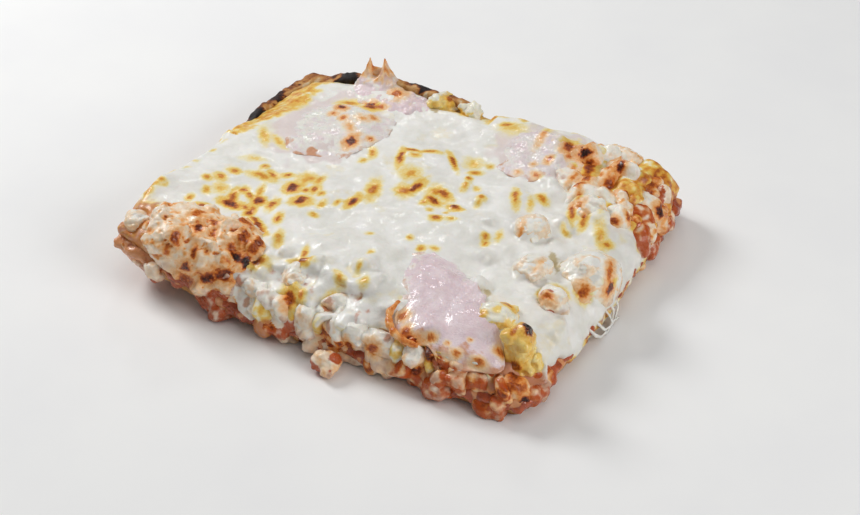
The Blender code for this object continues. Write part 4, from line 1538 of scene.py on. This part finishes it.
@dataclass
class Filling:
    """Small chopped bits that fill one cut side or corner, fused into one piece."""

    name: str
    # Where bits are looked for: from these places, each along its way, until they meet the slice.
    starts: tuple[tuple[Way, Way], ...]
    # Least and most that a bit is sunk, and its least and most half size.
    sunk: tuple[float, float] = (1.0, 2.8)
    half: tuple[float, float] = (3.2, 5.4)
    # Shares of the bits that are kept, covered with sauce, browned and covered with cheese.
    kept: float = 0.85
    sauced: float = 0.35
    browned_share: float = 0.25
    filmed: float = 0.2
    # How much more sauce there is at the left, and how far the cheese hangs over the bits.
    sauced_left: float = 0.0
    draped: float = 1.0
    gaps: tuple[tuple[float, float, float, float], ...] = ()
    marks: tuple[Mark, ...] = ()
    grain: float = 0.6
    seed: int = 301

    def build(self, tree: BVHTree) -> None:
        """Sets the bits against the slice and fuses them.

        Args:
            tree: the slice's solids.
        """
        draw = np.random.default_rng(self.seed)
        bits: list[Solid] = []
        middles = []
        looks = []
        for start, heading in self.starts:
            way = np.array(heading)
            begin = np.array(start) + draw.normal(size=3) * 1.2 * (way == 0)
            half = draw.uniform(*self.half) * draw.uniform(0.75, 1.25, 3)
            sunk = draw.uniform(*self.sunk)
            look = draw.uniform(size=3)
            hit = tree.ray_cast(Vector(begin), Vector(way))
            if hit[0] is None or draw.uniform() > self.kept or self.is_hollow(np.array(hit[0])):
                continue
            middle = np.array(hit[0]) + way * sunk
            bits.append(chopped_bit(middle, half, draw))
            middles.append(middle)
            looks.append(look)
        solid = melted(bits, self.grain)
        solid.relax(3)
        here = solid.points
        relief = 0.35 * noise(here, 3.2, self.seed + 1) + 0.16 * noise(here, 1.4, self.seed + 2)
        solid.push(relief)
        solid.points[:, 2] = np.maximum(solid.points[:, 2], 0.05)
        near = np.empty(len(here), int)
        spots = np.array(middles)
        for begin in range(0, len(here), 4096):
            part = here[begin : begin + 4096]
            near[begin : begin + 4096] = ((part[:, None] - spots[None]) ** 2).sum(axis=2).argmin(axis=1)
        look = np.array(looks)[near]
        self.paint(solid, look)
        solid.lay(self.name, COOKED_CHICKEN, [], "chicken")

    def is_hollow(self, place: np.ndarray) -> bool:
        """True where the filling leaves a dark gap, each given as x, z, half length and half height."""
        away = [((place[0] - x) / long, (place[2] - z) / tall) for x, z, long, tall in self.gaps]
        return any(side**2 + rise**2 < 1.0 for side, rise in away)

    def paint(self, solid: Solid, look: np.ndarray) -> None:
        """Gives each bit its own finish.

        Args:
            solid: the fused bits.
            look: three random shares for each point, the same all over one bit.
        """
        here = solid.points
        mottle = noise(here, 2.6, self.seed + 3)
        brown = smooth_step(1.0 - self.browned_share, 1.0 - 0.5 * self.browned_share, look[:, 0])
        # Painted shade: creases get redder and browner.
        crease = smooth_step(0.04, 0.6, solid.hollows(14))
        low = smooth_step(11.0, 4.0, here[:, 2] + 3.0 * mottle)
        from_left = self.sauced_left * smooth_step(-27.0, -35.0, here[:, 0])
        # Under the front ham slice the bits are soaked pinkish brown and also painted darker as shade.
        under_ham = smooth_step(26.0, 38.0, here[:, 0]) * smooth_step(-38.0, -46.0, here[:, 1])
        sauced = smooth_step(1.0 - self.sauced, 1.0 - 0.5 * self.sauced, look[:, 1] + 0.3 * low + from_left)
        red = np.maximum(sauced * (0.7 + 0.5 * mottle), crease * (0.45 + 0.55 * low))
        red = np.maximum(red, under_ham * (0.55 + 0.7 * mottle))
        solid.values["red"] = np.clip(red, 0.0, 1.0)
        blush = 0.35 * low + 0.5 * look[:, 2] + 0.4 * mottle + 0.85 * under_ham - 0.15
        solid.values["blush"] = np.clip(blush, 0.0, 1.0)
        filmed = smooth_step(1.0 - self.filmed, 1.0, 1.0 - look[:, 0]) * (1 - sauced)
        draped = smooth_step(6.0, 11.0, here[:, 2] + 3.0 * mottle) * smooth_step(0.2, 0.5, 1.0 - look[:, 0])
        draped *= self.draped * (1.0 - under_ham)
        film = np.clip(np.maximum(filmed, draped) * (1.0 + mottle), 0.0, 1.0)
        solid.values["film"] = film
        toast = 0.04 + 0.14 * mottle + 0.22 * under_ham * (0.6 + mottle) + brown * (0.30 + 0.35 * mottle)
        toast = toast * (1.0 - 0.9 * film) + 0.25 * crease
        surface = solid.tree()
        toast = np.maximum(toast, browned(here, self.marks, surface, self.seed + 4))
        # Sauce stain and painted crevice shade from the front crevice marks.
        crevice_stain_and_shade = browned(here, STAIN_AND_SHADE_MARKS, surface, self.seed + 5)
        solid.values["blush"] = np.maximum(solid.values["blush"], crevice_stain_and_shade)
        solid.values["toast"] = np.clip(toast, 0.0, 1.0)


@dataclass
class HamSlice:
    """One thin slice of ham laid over what is under it. The outline is in design millimetres."""

    name: str
    centre: tuple[float, float]
    outline: tuple[tuple[float, float], ...]
    # How far it lies above what is under it, and its thickness.
    lift: float
    thick: float = 1.3
    spokes: int = 150
    rings: int = 40
    marks: tuple[Mark, ...] = ()
    # How far cheese covers its edge and the whole of it, and how deep its back edge is tucked in.
    film: float = 0.5
    veil: float = 0.0
    tuck: float = 1.6
    # How deep it may lie in the highest lumps under it.
    sink: float = 3.0
    evened: int = 16
    # Height that it takes where nothing lies under it.
    plain_height: float = 14.0
    seed: int = 61

    def reach(self, angle: float) -> float:
        """How far the outline is from the centre in one direction.

        Args:
            angle: direction in radians.

        Returns:
            The distance in millimetres.
        """
        way = np.array((math.cos(angle), math.sin(angle)))
        corners = np.array(self.outline) - np.array(self.centre)
        best = 1.0
        for a, b in zip(corners, np.roll(corners, -1, axis=0)):
            side = b - a
            cross = way[0] * side[1] - way[1] * side[0]
            if abs(cross) < 1e-9:
                continue
            far = (a[0] * side[1] - a[1] * side[0]) / cross
            share = (a[0] * way[1] - a[1] * way[0]) / cross
            if far > 0 and -1e-6 <= share <= 1 + 1e-6:
                best = max(best, far)
        return best

    def build(self, under: BVHTree) -> None:
        """Drapes the slice.

        Args:
            under: the surface that it lies on.
        """
        angles = np.linspace(0.0, 2 * math.pi, self.spokes, endpoint=False)
        reaches = np.array([self.reach(a) for a in angles])
        for _ in range(3):
            reaches = 0.5 * reaches + 0.25 * (np.roll(reaches, 1) + np.roll(reaches, -1))
        ragged = np.stack([np.cos(angles) * 20, np.sin(angles) * 20, np.full_like(angles, self.seed)], axis=1)
        reaches += 0.8 * noise(ragged, 5.0, self.seed) + 0.4 * noise(ragged, 2.0, self.seed + 1)
        places = [np.array([[self.centre[0], self.centre[1]]])]
        shares = [np.zeros(1)]
        for ring in range(1, self.rings + 1):
            share = (ring / self.rings) ** 0.8
            ways = np.stack([np.cos(angles), np.sin(angles)], axis=1)
            places.append(np.array(self.centre) + ways * (reaches * share)[:, None])
            shares.append(np.full(self.spokes, share))
        flat = np.concatenate(places)
        share = np.concatenate(shares)
        height = np.array([self.ground(under, x, y) for x, y in flat])
        upper = Solid(np.column_stack([flat, height]), self.fan())
        upper.relax(self.evened, 0.6)
        upper.points[:, 2] = np.maximum(upper.points[:, 2], height - self.sink)
        upper.relax(2, 0.4)
        crumple = np.column_stack([flat, np.zeros(len(flat))])
        upper.points[:, :2] = flat
        wave = 0.34 * noise(crumple, 9.0, self.seed + 2) + 0.08 * ridges(crumple, 9.0, self.seed + 3)
        upper.points[:, 2] += self.lift + wave * smooth_step(0.2, 0.7, share)
        aside = (flat[:, 1] - self.centre[1]) - (flat[:, 0] - self.centre[0])
        upper.points[:, 2] -= self.tuck * smooth_step(0.55, 1.0, share) * smooth_step(-6.0, 8.0, aside)
        edge = smooth_step(1.0, 0.9, share)
        lower = Solid(upper.points.copy(), upper.faces[:, ::-1])
        upper.points[:, 2] += 0.5 * self.thick * (0.25 + 0.75 * edge)
        lower.points[:, 2] -= 0.5 * self.thick * (0.25 + 0.75 * edge)
        solid = joined([upper, lower])
        first = 1 + (self.rings - 1) * self.spokes
        turn = np.arange(self.spokes)
        after = (turn + 1) % self.spokes
        low = len(flat)
        above, above_next = first + turn, first + after
        below, below_next = low + above, low + above_next
        strip = [(above, below, below_next), (above, below_next, above_next)]
        sides = np.concatenate([np.stack(corners, axis=1) for corners in strip])
        solid.faces = np.concatenate([solid.faces, sides])
        fine = 0.12 * noise(solid.points, 2.2, self.seed + 5) + 0.10 * noise(solid.points, 1.0, self.seed + 6)
        solid.push(fine)
        self.paint(solid, np.concatenate([share, share]))
        solid.lay(self.name + "_slice", SLICED_HAM, [self.name], "ham")

    def fan(self) -> np.ndarray:
        """The triangles of a disc of rings round one middle point."""
        turn = np.arange(self.spokes)
        after = (turn + 1) % self.spokes
        faces = [np.stack([np.zeros(self.spokes, int), 1 + turn, 1 + after], axis=1)]
        for ring in range(self.rings - 1):
            inner = 1 + ring * self.spokes
            outer = inner + self.spokes
            faces.append(np.stack([inner + turn, outer + turn, outer + after], axis=1))
            faces.append(np.stack([inner + turn, outer + after, inner + after], axis=1))
        return np.concatenate(faces)

    def ground(self, under: BVHTree, x: float, y: float) -> float:
        """The height of what lies under one place, from above."""
        hit = under.ray_cast(Vector((x, y, FAR_ABOVE)), Vector((0.0, 0.0, -1.0)))
        return hit[0].z if hit[0] is not None else self.plain_height

    def paint(self, solid: Solid, share: np.ndarray) -> None:
        """Puts the slice's painted shares on its points.

        Args:
            solid: the slice.
            share: 0 at its middle and 1 at its edge.
        """
        here = solid.points
        toast = browned(here, CHEESE_MARKS + self.marks, solid.tree(), self.seed + 7)
        toast = np.maximum(toast, smooth_step(25.5, 29.0, here[:, 2] + noise(here, 2.0, self.seed)) * 0.5)
        solid.values["toast"] = np.clip(toast, 0.0, 1.0)
        ragged = 0.3 * noise(here, 5.0, self.seed + 8) + 0.2 * noise(here, 2.0, self.seed + 9)
        away_x, away_y = here[:, 0] - self.centre[0], here[:, 1] - self.centre[1]
        back = smooth_step(-0.5, 1.0, away_y / 20.0 - away_x / 20.0)
        edge = self.film * smooth_step(0.55, 1.0, share + ragged * 0.8) * (0.3 + back)
        solid.values["film"] = np.clip(np.maximum(edge, self.veil * (0.8 + ragged)), 0.0, 1.0)
        front = smooth_step(-8.0, -20.0, away_y)
        solid.values["blush"] = (0.5 + 0.4 * front) * smooth_step(0.8 - 0.1 * front, 1.08, share + ragged)


@dataclass
class CrumpledHam:
    """The ham slice that stands up in two tips at the back edge."""

    node: str = "ham_back_peak"
    grain: float = 0.4
    tips: tuple[tuple[float, float], ...] = ((-49.5, 62.0), (-43.0, 63.0))

    def build(self) -> None:
        """Remakes the node with soft upright folds and toasted tips."""
        solid = melted([Solid.of_node(self.node)], self.grain)
        solid.relax(1)
        here = solid.points
        free = smooth_step(30.0, 26.0, here[:, 2])
        solid.push((0.55 * noise(here, (3.0, 3.0, 10.0), 81) + 0.25 * noise(here, 2.2, 82)) * free)
        self.part_tips(solid)
        here = solid.points
        streak = noise(here, (1.8, 1.8, 7.0), 83)
        high = smooth_step(22.5, 28.5, here[:, 2] + 1.5 * streak)
        crease = smooth_step(0.05, 0.5, solid.hollows(14))
        toast = high * (0.20 + 0.24 * streak + 0.45 * smooth_step(30.0, 34.5, here[:, 2]))
        # Painted shade: its creases get more browning and pinkish brown.
        toast = np.maximum(toast, 0.5 * crease * (0.5 + streak))
        toast = np.maximum(toast, browned(here, CHEESE_MARKS, solid.tree(), 84))
        solid.values["toast"] = np.clip(toast, 0.0, 1.0)
        solid.values["blush"] = np.clip(1.1 * high + 0.5 * crease, 0.0, 1.0)
        solid.values["film"] = smooth_step(0.0, 0.5, noise(here, 6.0, 85)) * (1.0 - high)
        solid.lay(self.node + "_slice", SLICED_HAM, [self.node], "ham")

    def part_tips(self, solid: Solid) -> None:
        """Draws the two tips thin and deepens the fold between them."""
        here = solid.points
        between = 0.5 * (self.tips[0][0] + self.tips[1][0])
        high = smooth_step(24.0, 32.0, here[:, 2])
        here[:, 2] -= 6.0 * high * np.exp(-(((here[:, 0] - between) / 1.8) ** 2))
        for tip, side in zip(self.tips, (here[:, 0] < between, here[:, 0] >= between)):
            pull = 0.45 * high * side
            here[:, 0] += pull * (tip[0] - here[:, 0])
            here[:, 1] += pull * (tip[1] - here[:, 1])


@dataclass
class Strands:
    """Thin threads and rolled edges, each a tapering tube through a few places."""

    name: str
    finish: Finish
    slot: str
    # Each path: its places, its half thickness in the middle and at the ends.
    paths: tuple[tuple[tuple[tuple[float, float, float], ...], float, float], ...]
    sides: int = 8
    steps: int = 40
    toast: float = 0.0
    seed: int = 401

    def build(self) -> None:
        """Makes all the threads as one piece."""
        tubes = [self.tube(*path, self.seed + i) for i, path in enumerate(self.paths)]
        solid = joined(tubes)
        here = solid.points
        solid.values["toast"] = np.clip(self.toast * (1.0 + 0.6 * noise(here, 2.5, self.seed)), 0.0, 1.0)
        solid.lay(self.name, self.finish, [], self.slot, 2.4)

    def tube(self, places: Sequence[Sequence[float]], middle: float, end: float, seed: int) -> Solid:
        """One closed tube.

        Args:
            places: what it runs through.
            middle: its half thickness halfway.
            end: its half thickness at the ends.
            seed: its unevenness.

        Returns:
            The tube as triangles.
        """
        knots = np.array(places, float)
        at = np.linspace(0.0, len(knots) - 1.0, self.steps)
        line = np.stack([np.interp(at, np.arange(len(knots)), knots[:, k]) for k in range(3)], axis=1)
        for _ in range(4):
            line[1:-1] = 0.5 * line[1:-1] + 0.25 * (line[2:] + line[:-2])
        ahead = np.gradient(line, axis=0)
        ahead /= np.linalg.norm(ahead, axis=1)[:, None]
        aside = np.cross(ahead, (0.31, 0.17, 0.93))
        aside /= np.linalg.norm(aside, axis=1)[:, None]
        above = np.cross(ahead, aside)
        share = np.sin(np.linspace(0.0, math.pi, self.steps)) ** 0.5
        thick = (end + (middle - end) * share) * (1.0 + 0.35 * noise(line, 2.0, seed))
        rings = []
        for side in range(self.sides):
            turn = 2 * math.pi * side / self.sides
            rings.append(line + (math.cos(turn) * aside + math.sin(turn) * above) * thick[:, None])
        points = np.stack(rings, axis=1).reshape(-1, 3)
        points = np.concatenate([points, line[:1], line[-1:]])
        start, stop = len(points) - 2, len(points) - 1
        faces = []
        for step in range(self.steps - 1):
            for side in range(self.sides):
                a = step * self.sides + side
                b = step * self.sides + (side + 1) % self.sides
                faces += [(a, b, b + self.sides), (a, b + self.sides, a + self.sides)]
        last = (self.steps - 1) * self.sides
        for side in range(self.sides):
            after = (side + 1) % self.sides
            faces += [(start, after, side), (stop, last + side, last + after)]
        solid = Solid(points, np.array(faces)[:, ::-1])
        solid.points[:, 2] = np.maximum(solid.points[:, 2], 0.1)
        return solid


# Golden edges and the brown knob of the pieces that stand out of the cheese on the right.
CHUNK_MARKS = CHEESE_MARKS + (
    Mark(80.4, -21.0, 2.4, 1.8, -20, 0.50),
    Mark(47.0, -2.0, 1.2, 4.0, 20, 0.34),
    Mark(41.0, 4.0, 3.0, 1.2, 10, 0.30),
    Mark(88.0, -15.0, 1.6, 2.6, 10, 0.80),
    Mark(58.0, 22.0, 1.4, 3.0, 0, 0.42),
)


def half_covered(film: float, scale: float, rough: float, shift: Way) -> Chop:
    """A pale piece that cheese half covers, with the golden edges of the pieces on the right."""
    return Chop(Skin.PALE, film=film, scale=scale, rough=rough, shift=shift, marks=CHUNK_MARKS)


CHICKEN_CHOPS = {
    "chicken_browned": Chop(
        Skin.BROWNED,
        grain=0.6,
        rough=1.2,
        bits=46,
        scale=1.18,
        shift=(1.2, -1.0, 0.6),
        red_spots=((-35.8, -65.2, 8.0, 6.5), (-42.8, -65.2, 8.0, 5.0)),
        marks=(
            Mark(-52.0, -53.0, 1.6, 3.4, 20, 0.78),
            Mark(-46.0, -53.6, 1.4, 2.0, 20, 0.60),
            Mark(-50.0, -46.8, 3.2, 1.8, -30, 0.60),
            Mark(-36.0, -50.0, 2.6, 5.0, 25, 0.66),
            Mark(-56.0, -62.0, 2.0, 3.6, 25, 0.66),
            Mark(-46.0, -65.5, 1.2, 3.6, 15, 0.66),
            Mark(-44.0, -73.6, 2.2, 2.0, 0, 0.76),
            Mark(-34.4, -75.0, 3.2, 1.8, 10, 0.84),
            Mark(-36.6, -56.8, 1.8, 1.8, 0, 0.62),
            Mark(-29.5, -54.0, 2.6, 3.0, 0, 0.62),
            Mark(-41.0, -41.0, 6.0, 1.6, 10, 0.55),
            Mark(-57.5, -45.0, 1.4, 4.0, -20, 0.50),
            # Painted shade: the dark gap beside the lump, painted as burnt browning.
            Mark(-27.5, -61.3, 3.0, 2.6, 0, 0.98),
            Mark(-32.0, -60.6, 3.0, 2.0, 0, 0.95),
            Mark(-25.1, -62.6, 3.0, 1.8, 0, 1.0),
            Mark(-29.7, -50.3, 1.8, 3.6, 0, 0.72),
            Mark(-35.0, -39.3, 1.4, 2.6, 0, 0.6),
            Mark(-30.4, -71.7, 5.0, 2.0, 10, 0.72),
            Mark(-40.8, -79.2, 4.0, 1.8, 0, 0.62),
            Mark(-55.2, -68.6, 1.6, 3.6, 20, 0.5),
        ),
    ),
    "chicken_left": Chop(Skin.PALE, film=0.3),
    "chicken_left_low": Chop(Skin.PALE, film=0.2),
    "chicken_front_pale": Chop(Skin.PALE, film=0.5),
    "chicken_front_cap": Chop(Skin.PALE, film=0.4),
    "chicken_front_long": Chop(Skin.PALE, film=0.4, marks=FRONT_MARKS),
    "chicken_front_pink": Chop(Skin.PINKISH, film=0.5),
    "chicken_spilled": Chop(Skin.PINKISH, red_spots=((8.0, -75.0, 1.0, 4.6), (14.0, -72.0, 6.0, 3.0))),
    "chicken_front_smooth": Chop(Skin.PALE, film=0.7, marks=FRONT_MARKS),
    "chicken_front_wide": Chop(Skin.PALE, film=0.6, marks=FRONT_MARKS),
    "chicken_stringy": Chop(Skin.PINKISH, film=0.3, marks=FRONT_MARKS),
    "chicken_under_ham": Chop(Skin.SOAKED, marks=FRONT_MARKS),
    "chicken_low": Chop(Skin.SOAKED, marks=FRONT_MARKS),
    "chicken_pinkish": Chop(Skin.SOAKED, marks=FRONT_MARKS),
    "chicken_corner": Chop(Skin.SCORCHED, marks=FRONT_MARKS),
    "chicken_red_top": Chop(
        Skin.PALE,
        film=0.5,
        shift=(0.0, 0.0, 1.0),
        red_spots=((70.0, -28.0, 23.0, 2.6), (72.0, -31.5, 19.0, 2.0)),
        marks=(Mark(70.6, -29.5, 2.6, 1.6, 0, 0.50),),
    ),
    "chicken_right": half_covered(0.4, 1.32, 1.0, (2.0, -1.0, -0.6)),
    "chicken_mid_a": half_covered(0.35, 1.22, 0.9, (0.0, 0.0, 1.3)),
    "chicken_mid_b": half_covered(0.4, 1.3, 1.0, (-1.0, -3.0, 0.2)),
    "chicken_mid_c": half_covered(0.5, 1.12, 1.2, (0.0, 0.0, 1.0)),
    "chicken_back_a": Chop(Skin.BROWNED, film=0.3),
    "chicken_back_b": Chop(Skin.BROWNED, film=0.2),
    "chicken_back_c": Chop(Skin.SCORCHED, film=0.1),
    "chicken_back_d": Chop(Skin.SCORCHED),
}
FRUIT_CHOPS = {
    "fruit_charred": Chop(
        Skin.PALE,
        bits=5,
        scale=1.22,
        shift=(0.5, -1.0, 0.8),
        marks=(
            Mark(71.0, -44.5, 2.6, 2.2, 0, 0.62),
            Mark(72.6, -47.2, 2.4, 3.6, 35, 1.0),
            Mark(69.0, -51.0, 1.4, 3.0, 0, 0.45),
            Mark(77.0, -67.0, 3.0, 2.0, 0, 0.55),
        ),
    ),
    "fruit_speck": Chop(
        Skin.PALE,
        bits=3,
        marks=(
            Mark(80.3, -55.5, 1.8, 3.2, 25, 1.0),
            Mark(78.0, -58.0, 2.0, 5.0, 0, 0.5),
        ),
    ),
    "fruit_ham_side": Chop(
        Skin.PALE,
        film=0.4,
        scale=1.15,
        shift=(0.0, -0.5, 0.8),
        marks=(
            Mark(60.6, -39.6, 2.6, 0.9, -10, 0.5),
            Mark(55.6, -48.3, 1.2, 1.2, 0, 0.4),
        ),
    ),
    "fruit_back": Chop(Skin.PALE, film=0.4, marks=(Mark(-14.4, 61.3, 1.6, 1.6, 0, 0.5),)),
    "fruit_back_small": Chop(Skin.PALE, film=0.7),
}


def fill_sides(solids: BVHTree) -> None:
    """Fills the cut sides and the back right corner with chopped bits, from front to back.

    Args:
        solids: the surface of crust, sauce and cheese.
    """
    north, east, west, down = (0.0, 1.0, 0.0), (1.0, 0.0, 0.0), (-1.0, 0.0, 0.0), (0.0, 0.0, -1.0)
    rows = [((x, FAR_FRONT, z), north) for x in np.arange(-36.0, 74.0, 4.9) for z in (3.4, 8.0, 12.6)]
    rows += [((x, FAR_FRONT, z), north) for x in np.arange(-58.0, -37.0, 4.5) for z in (3.0, 7.0)]
    gaps = (
        (-50.0, 2.0, 7.0, 5.0),
        (-26.0, 4.0, 4.5, 5.0),
        (45.0, 8.0, 3.6, 4.5),
        (57.0, 4.0, 4.0, 3.0),
        (72.5, 13.5, 5.5, 4.0),
    )
    Filling(
        "filling_front",
        tuple(rows),
        gaps=gaps,
        sauced=0.14,
        sauced_left=0.7,
        marks=FRONT_MARKS,
    ).build(solids)
    rows = [((FAR_RIGHT, y, z), west) for y in np.arange(-62.0, -44.0, 4.6) for z in (5.5, 10.0)]
    rows += [((FAR_RIGHT, y, z), west) for y in np.arange(26.0, 60.0, 4.6) for z in (6.5, 11.0, 14.5)]
    Filling(
        "filling_right",
        tuple(rows),
        sunk=(2.2, 4.0),
        browned_share=0.6,
        sauced=0.5,
        draped=0.3,
        marks=FRONT_MARKS,
        seed=311,
    ).build(solids)
    rows = [((FAR_LEFT, y, z), east) for y in np.arange(-64.0, -53.0, 4.2) for z in (11.0, 15.0)]
    columns, levels = np.arange(-76.0, -60.0, 4.4), (9.0, 13.0, 17.0, 21.0)
    rows += [((x, FAR_FRONT, z), north) for x in columns for z in levels]
    Filling(
        "filling_left",
        tuple(rows),
        sunk=(5.2, 6.6),
        browned_share=0.6,
        sauced=0.6,
        draped=0.3,
        seed=321,
    ).build(solids)
    rows = [((x, y, FAR_ABOVE), down) for x in np.arange(48.0, 80.0, 5.6) for y in np.arange(28.0, 64.0, 5.6)]
    rows = [row for row in rows if row[0][0] + row[0][1] < 130.0]
    Filling(
        "filling_back",
        tuple(rows),
        half=(3.6, 6.6),
        sauced=0.08,
        browned_share=0.4,
        filmed=0.7,
        kept=0.75,
        marks=CHEESE_MARKS + CORNER_MARKS,
        seed=331,
    ).build(solids)


def add_threads() -> None:
    """Adds the threads of cheese at the right side and the browned ring at the left edge of the front ham."""
    threads = (
        (((80.0, -16.0, 9.0), (84.0, -15.0, 6.5), (86.0, -12.0, 2.4), (86.8, -6.0, 0.8)), 0.6, 0.4),
        (((80.5, -9.0, 10.0), (85.0, -8.0, 6.0), (85.8, -6.0, 1.8), (87.2, -1.0, 0.6)), 0.5, 0.35),
        (((80.5, -3.0, 9.0), (85.0, -4.0, 5.0), (86.0, -6.5, 1.4), (87.4, -11.5, 0.6)), 0.55, 0.35),
        (((81.0, 1.0, 8.0), (85.2, -0.5, 4.4), (86.0, -4.0, 1.2), (86.6, -12.0, 0.6)), 0.55, 0.4),
        (((81.0, -20.0, 8.0), (84.6, -18.5, 4.4), (85.6, -15.0, 1.4), (86.4, -9.5, 0.7)), 0.6, 0.4),
    )
    Strands("cheese_strings", MELTED_CHEESE, "cheese", threads).build()
    curl = ((27.4, -53.2, 22.0), (26.6, -58.6, 21.2), (28.8, -62.8, 20.0))
    curl += ((32.6, -65.6, 19.0), (36.8, -66.4, 18.0), (41.2, -65.4, 17.0))
    Strands("ham_curl", COOKED_CHICKEN, "ham", ((curl, 1.3, 0.6),), sides=12, toast=0.34).build()


def lay_hams(surface: BVHTree) -> None:
    """Lays the ham slices.

    Args:
        surface: the cheese that they lie on.
    """
    HamSlice(
        "ham_front",
        (43.0, -44.0),
        (
            (15.5, -28.0), (24.0, -21.0), (33.7, -23.5), (42.0, -28.5), (50.0, -36.0), (54.0, -41.0),
            (61.0, -47.5), (66.0, -53.5), (71.0, -60.5), (66.0, -64.5), (60.0, -66.8), (51.0, -67.4),
            (45.0, -64.0), (41.5, -63.6), (34.0, -66.0), (30.0, -61.0), (27.5, -54.0), (21.0, -43.0),
        ),
        lift=0.7,
        evened=9,
        sink=0.3,
        marks=(
            Mark(57.6, -69.9, 1.4, 1.0, 0, 0.55),
            Mark(69.8, -62.8, 1.6, 1.2, 20, 0.6),
            Mark(52.7, -66.9, 0.7, 0.6, 0, 0.8),
            Mark(65.9, -70.5, 2.0, 1.0, 10, 0.5),
            Mark(46.7, -67.2, 1.6, 0.9, 30, 0.55),
            Mark(38.1, -68.4, 1.4, 2.0, 0, 0.6),
            Mark(33.5, -61.5, 1.6, 1.8, 0, 0.5),
            Mark(58.5, -62.0, 0.6, 0.5, 0, 0.5),
        ),
    ).build(surface)
    HamSlice(
        "ham_back_left",
        (-45.0, 26.0),
        (
            (-66.0, 20.0), (-62.0, 42.0), (-46.0, 50.0), (-28.0, 46.0),
            (-23.0, 30.0), (-30.0, 10.0), (-50.0, 3.0),
        ),
        lift=-0.1,
        thick=0.8,
        veil=0.75,
        seed=71,
    ).build(surface)
    CrumpledHam().build()
    HamSlice(
        "ham_back_right",
        (31.0, 46.0),
        (
            (13.0, 40.0), (14.0, 54.0), (24.0, 64.0), (40.0, 62.0),
            (50.0, 50.0), (49.0, 36.0), (34.0, 28.0), (20.0, 31.0),
        ),
        lift=-0.1,
        thick=0.8,
        veil=0.6,
        seed=91,
    ).build(surface)


def main() -> None:
    """Builds the slice from the bottom up, then the studio."""
    logging.basicConfig(level=logging.INFO, format="%(name)s %(message)s")
    CrustBase().build()
    SauceLayer().build()
    blanket = CheeseBlanket().build()
    solids = joined([Solid.of_node(name) for name in ("crust", "sauce", "cheese")]).tree()
    fill_sides(solids)
    add_threads()
    ChoppedPieces("chicken_", COOKED_CHICKEN, "chicken", CHICKEN_CHOPS).build()
    ChoppedPieces("fruit_", ROASTED_FRUIT, "fruit", FRUIT_CHOPS).build()
    lay_hams(blanket.tree())
    Studio().build()


if __name__ == "__main__":
    main()
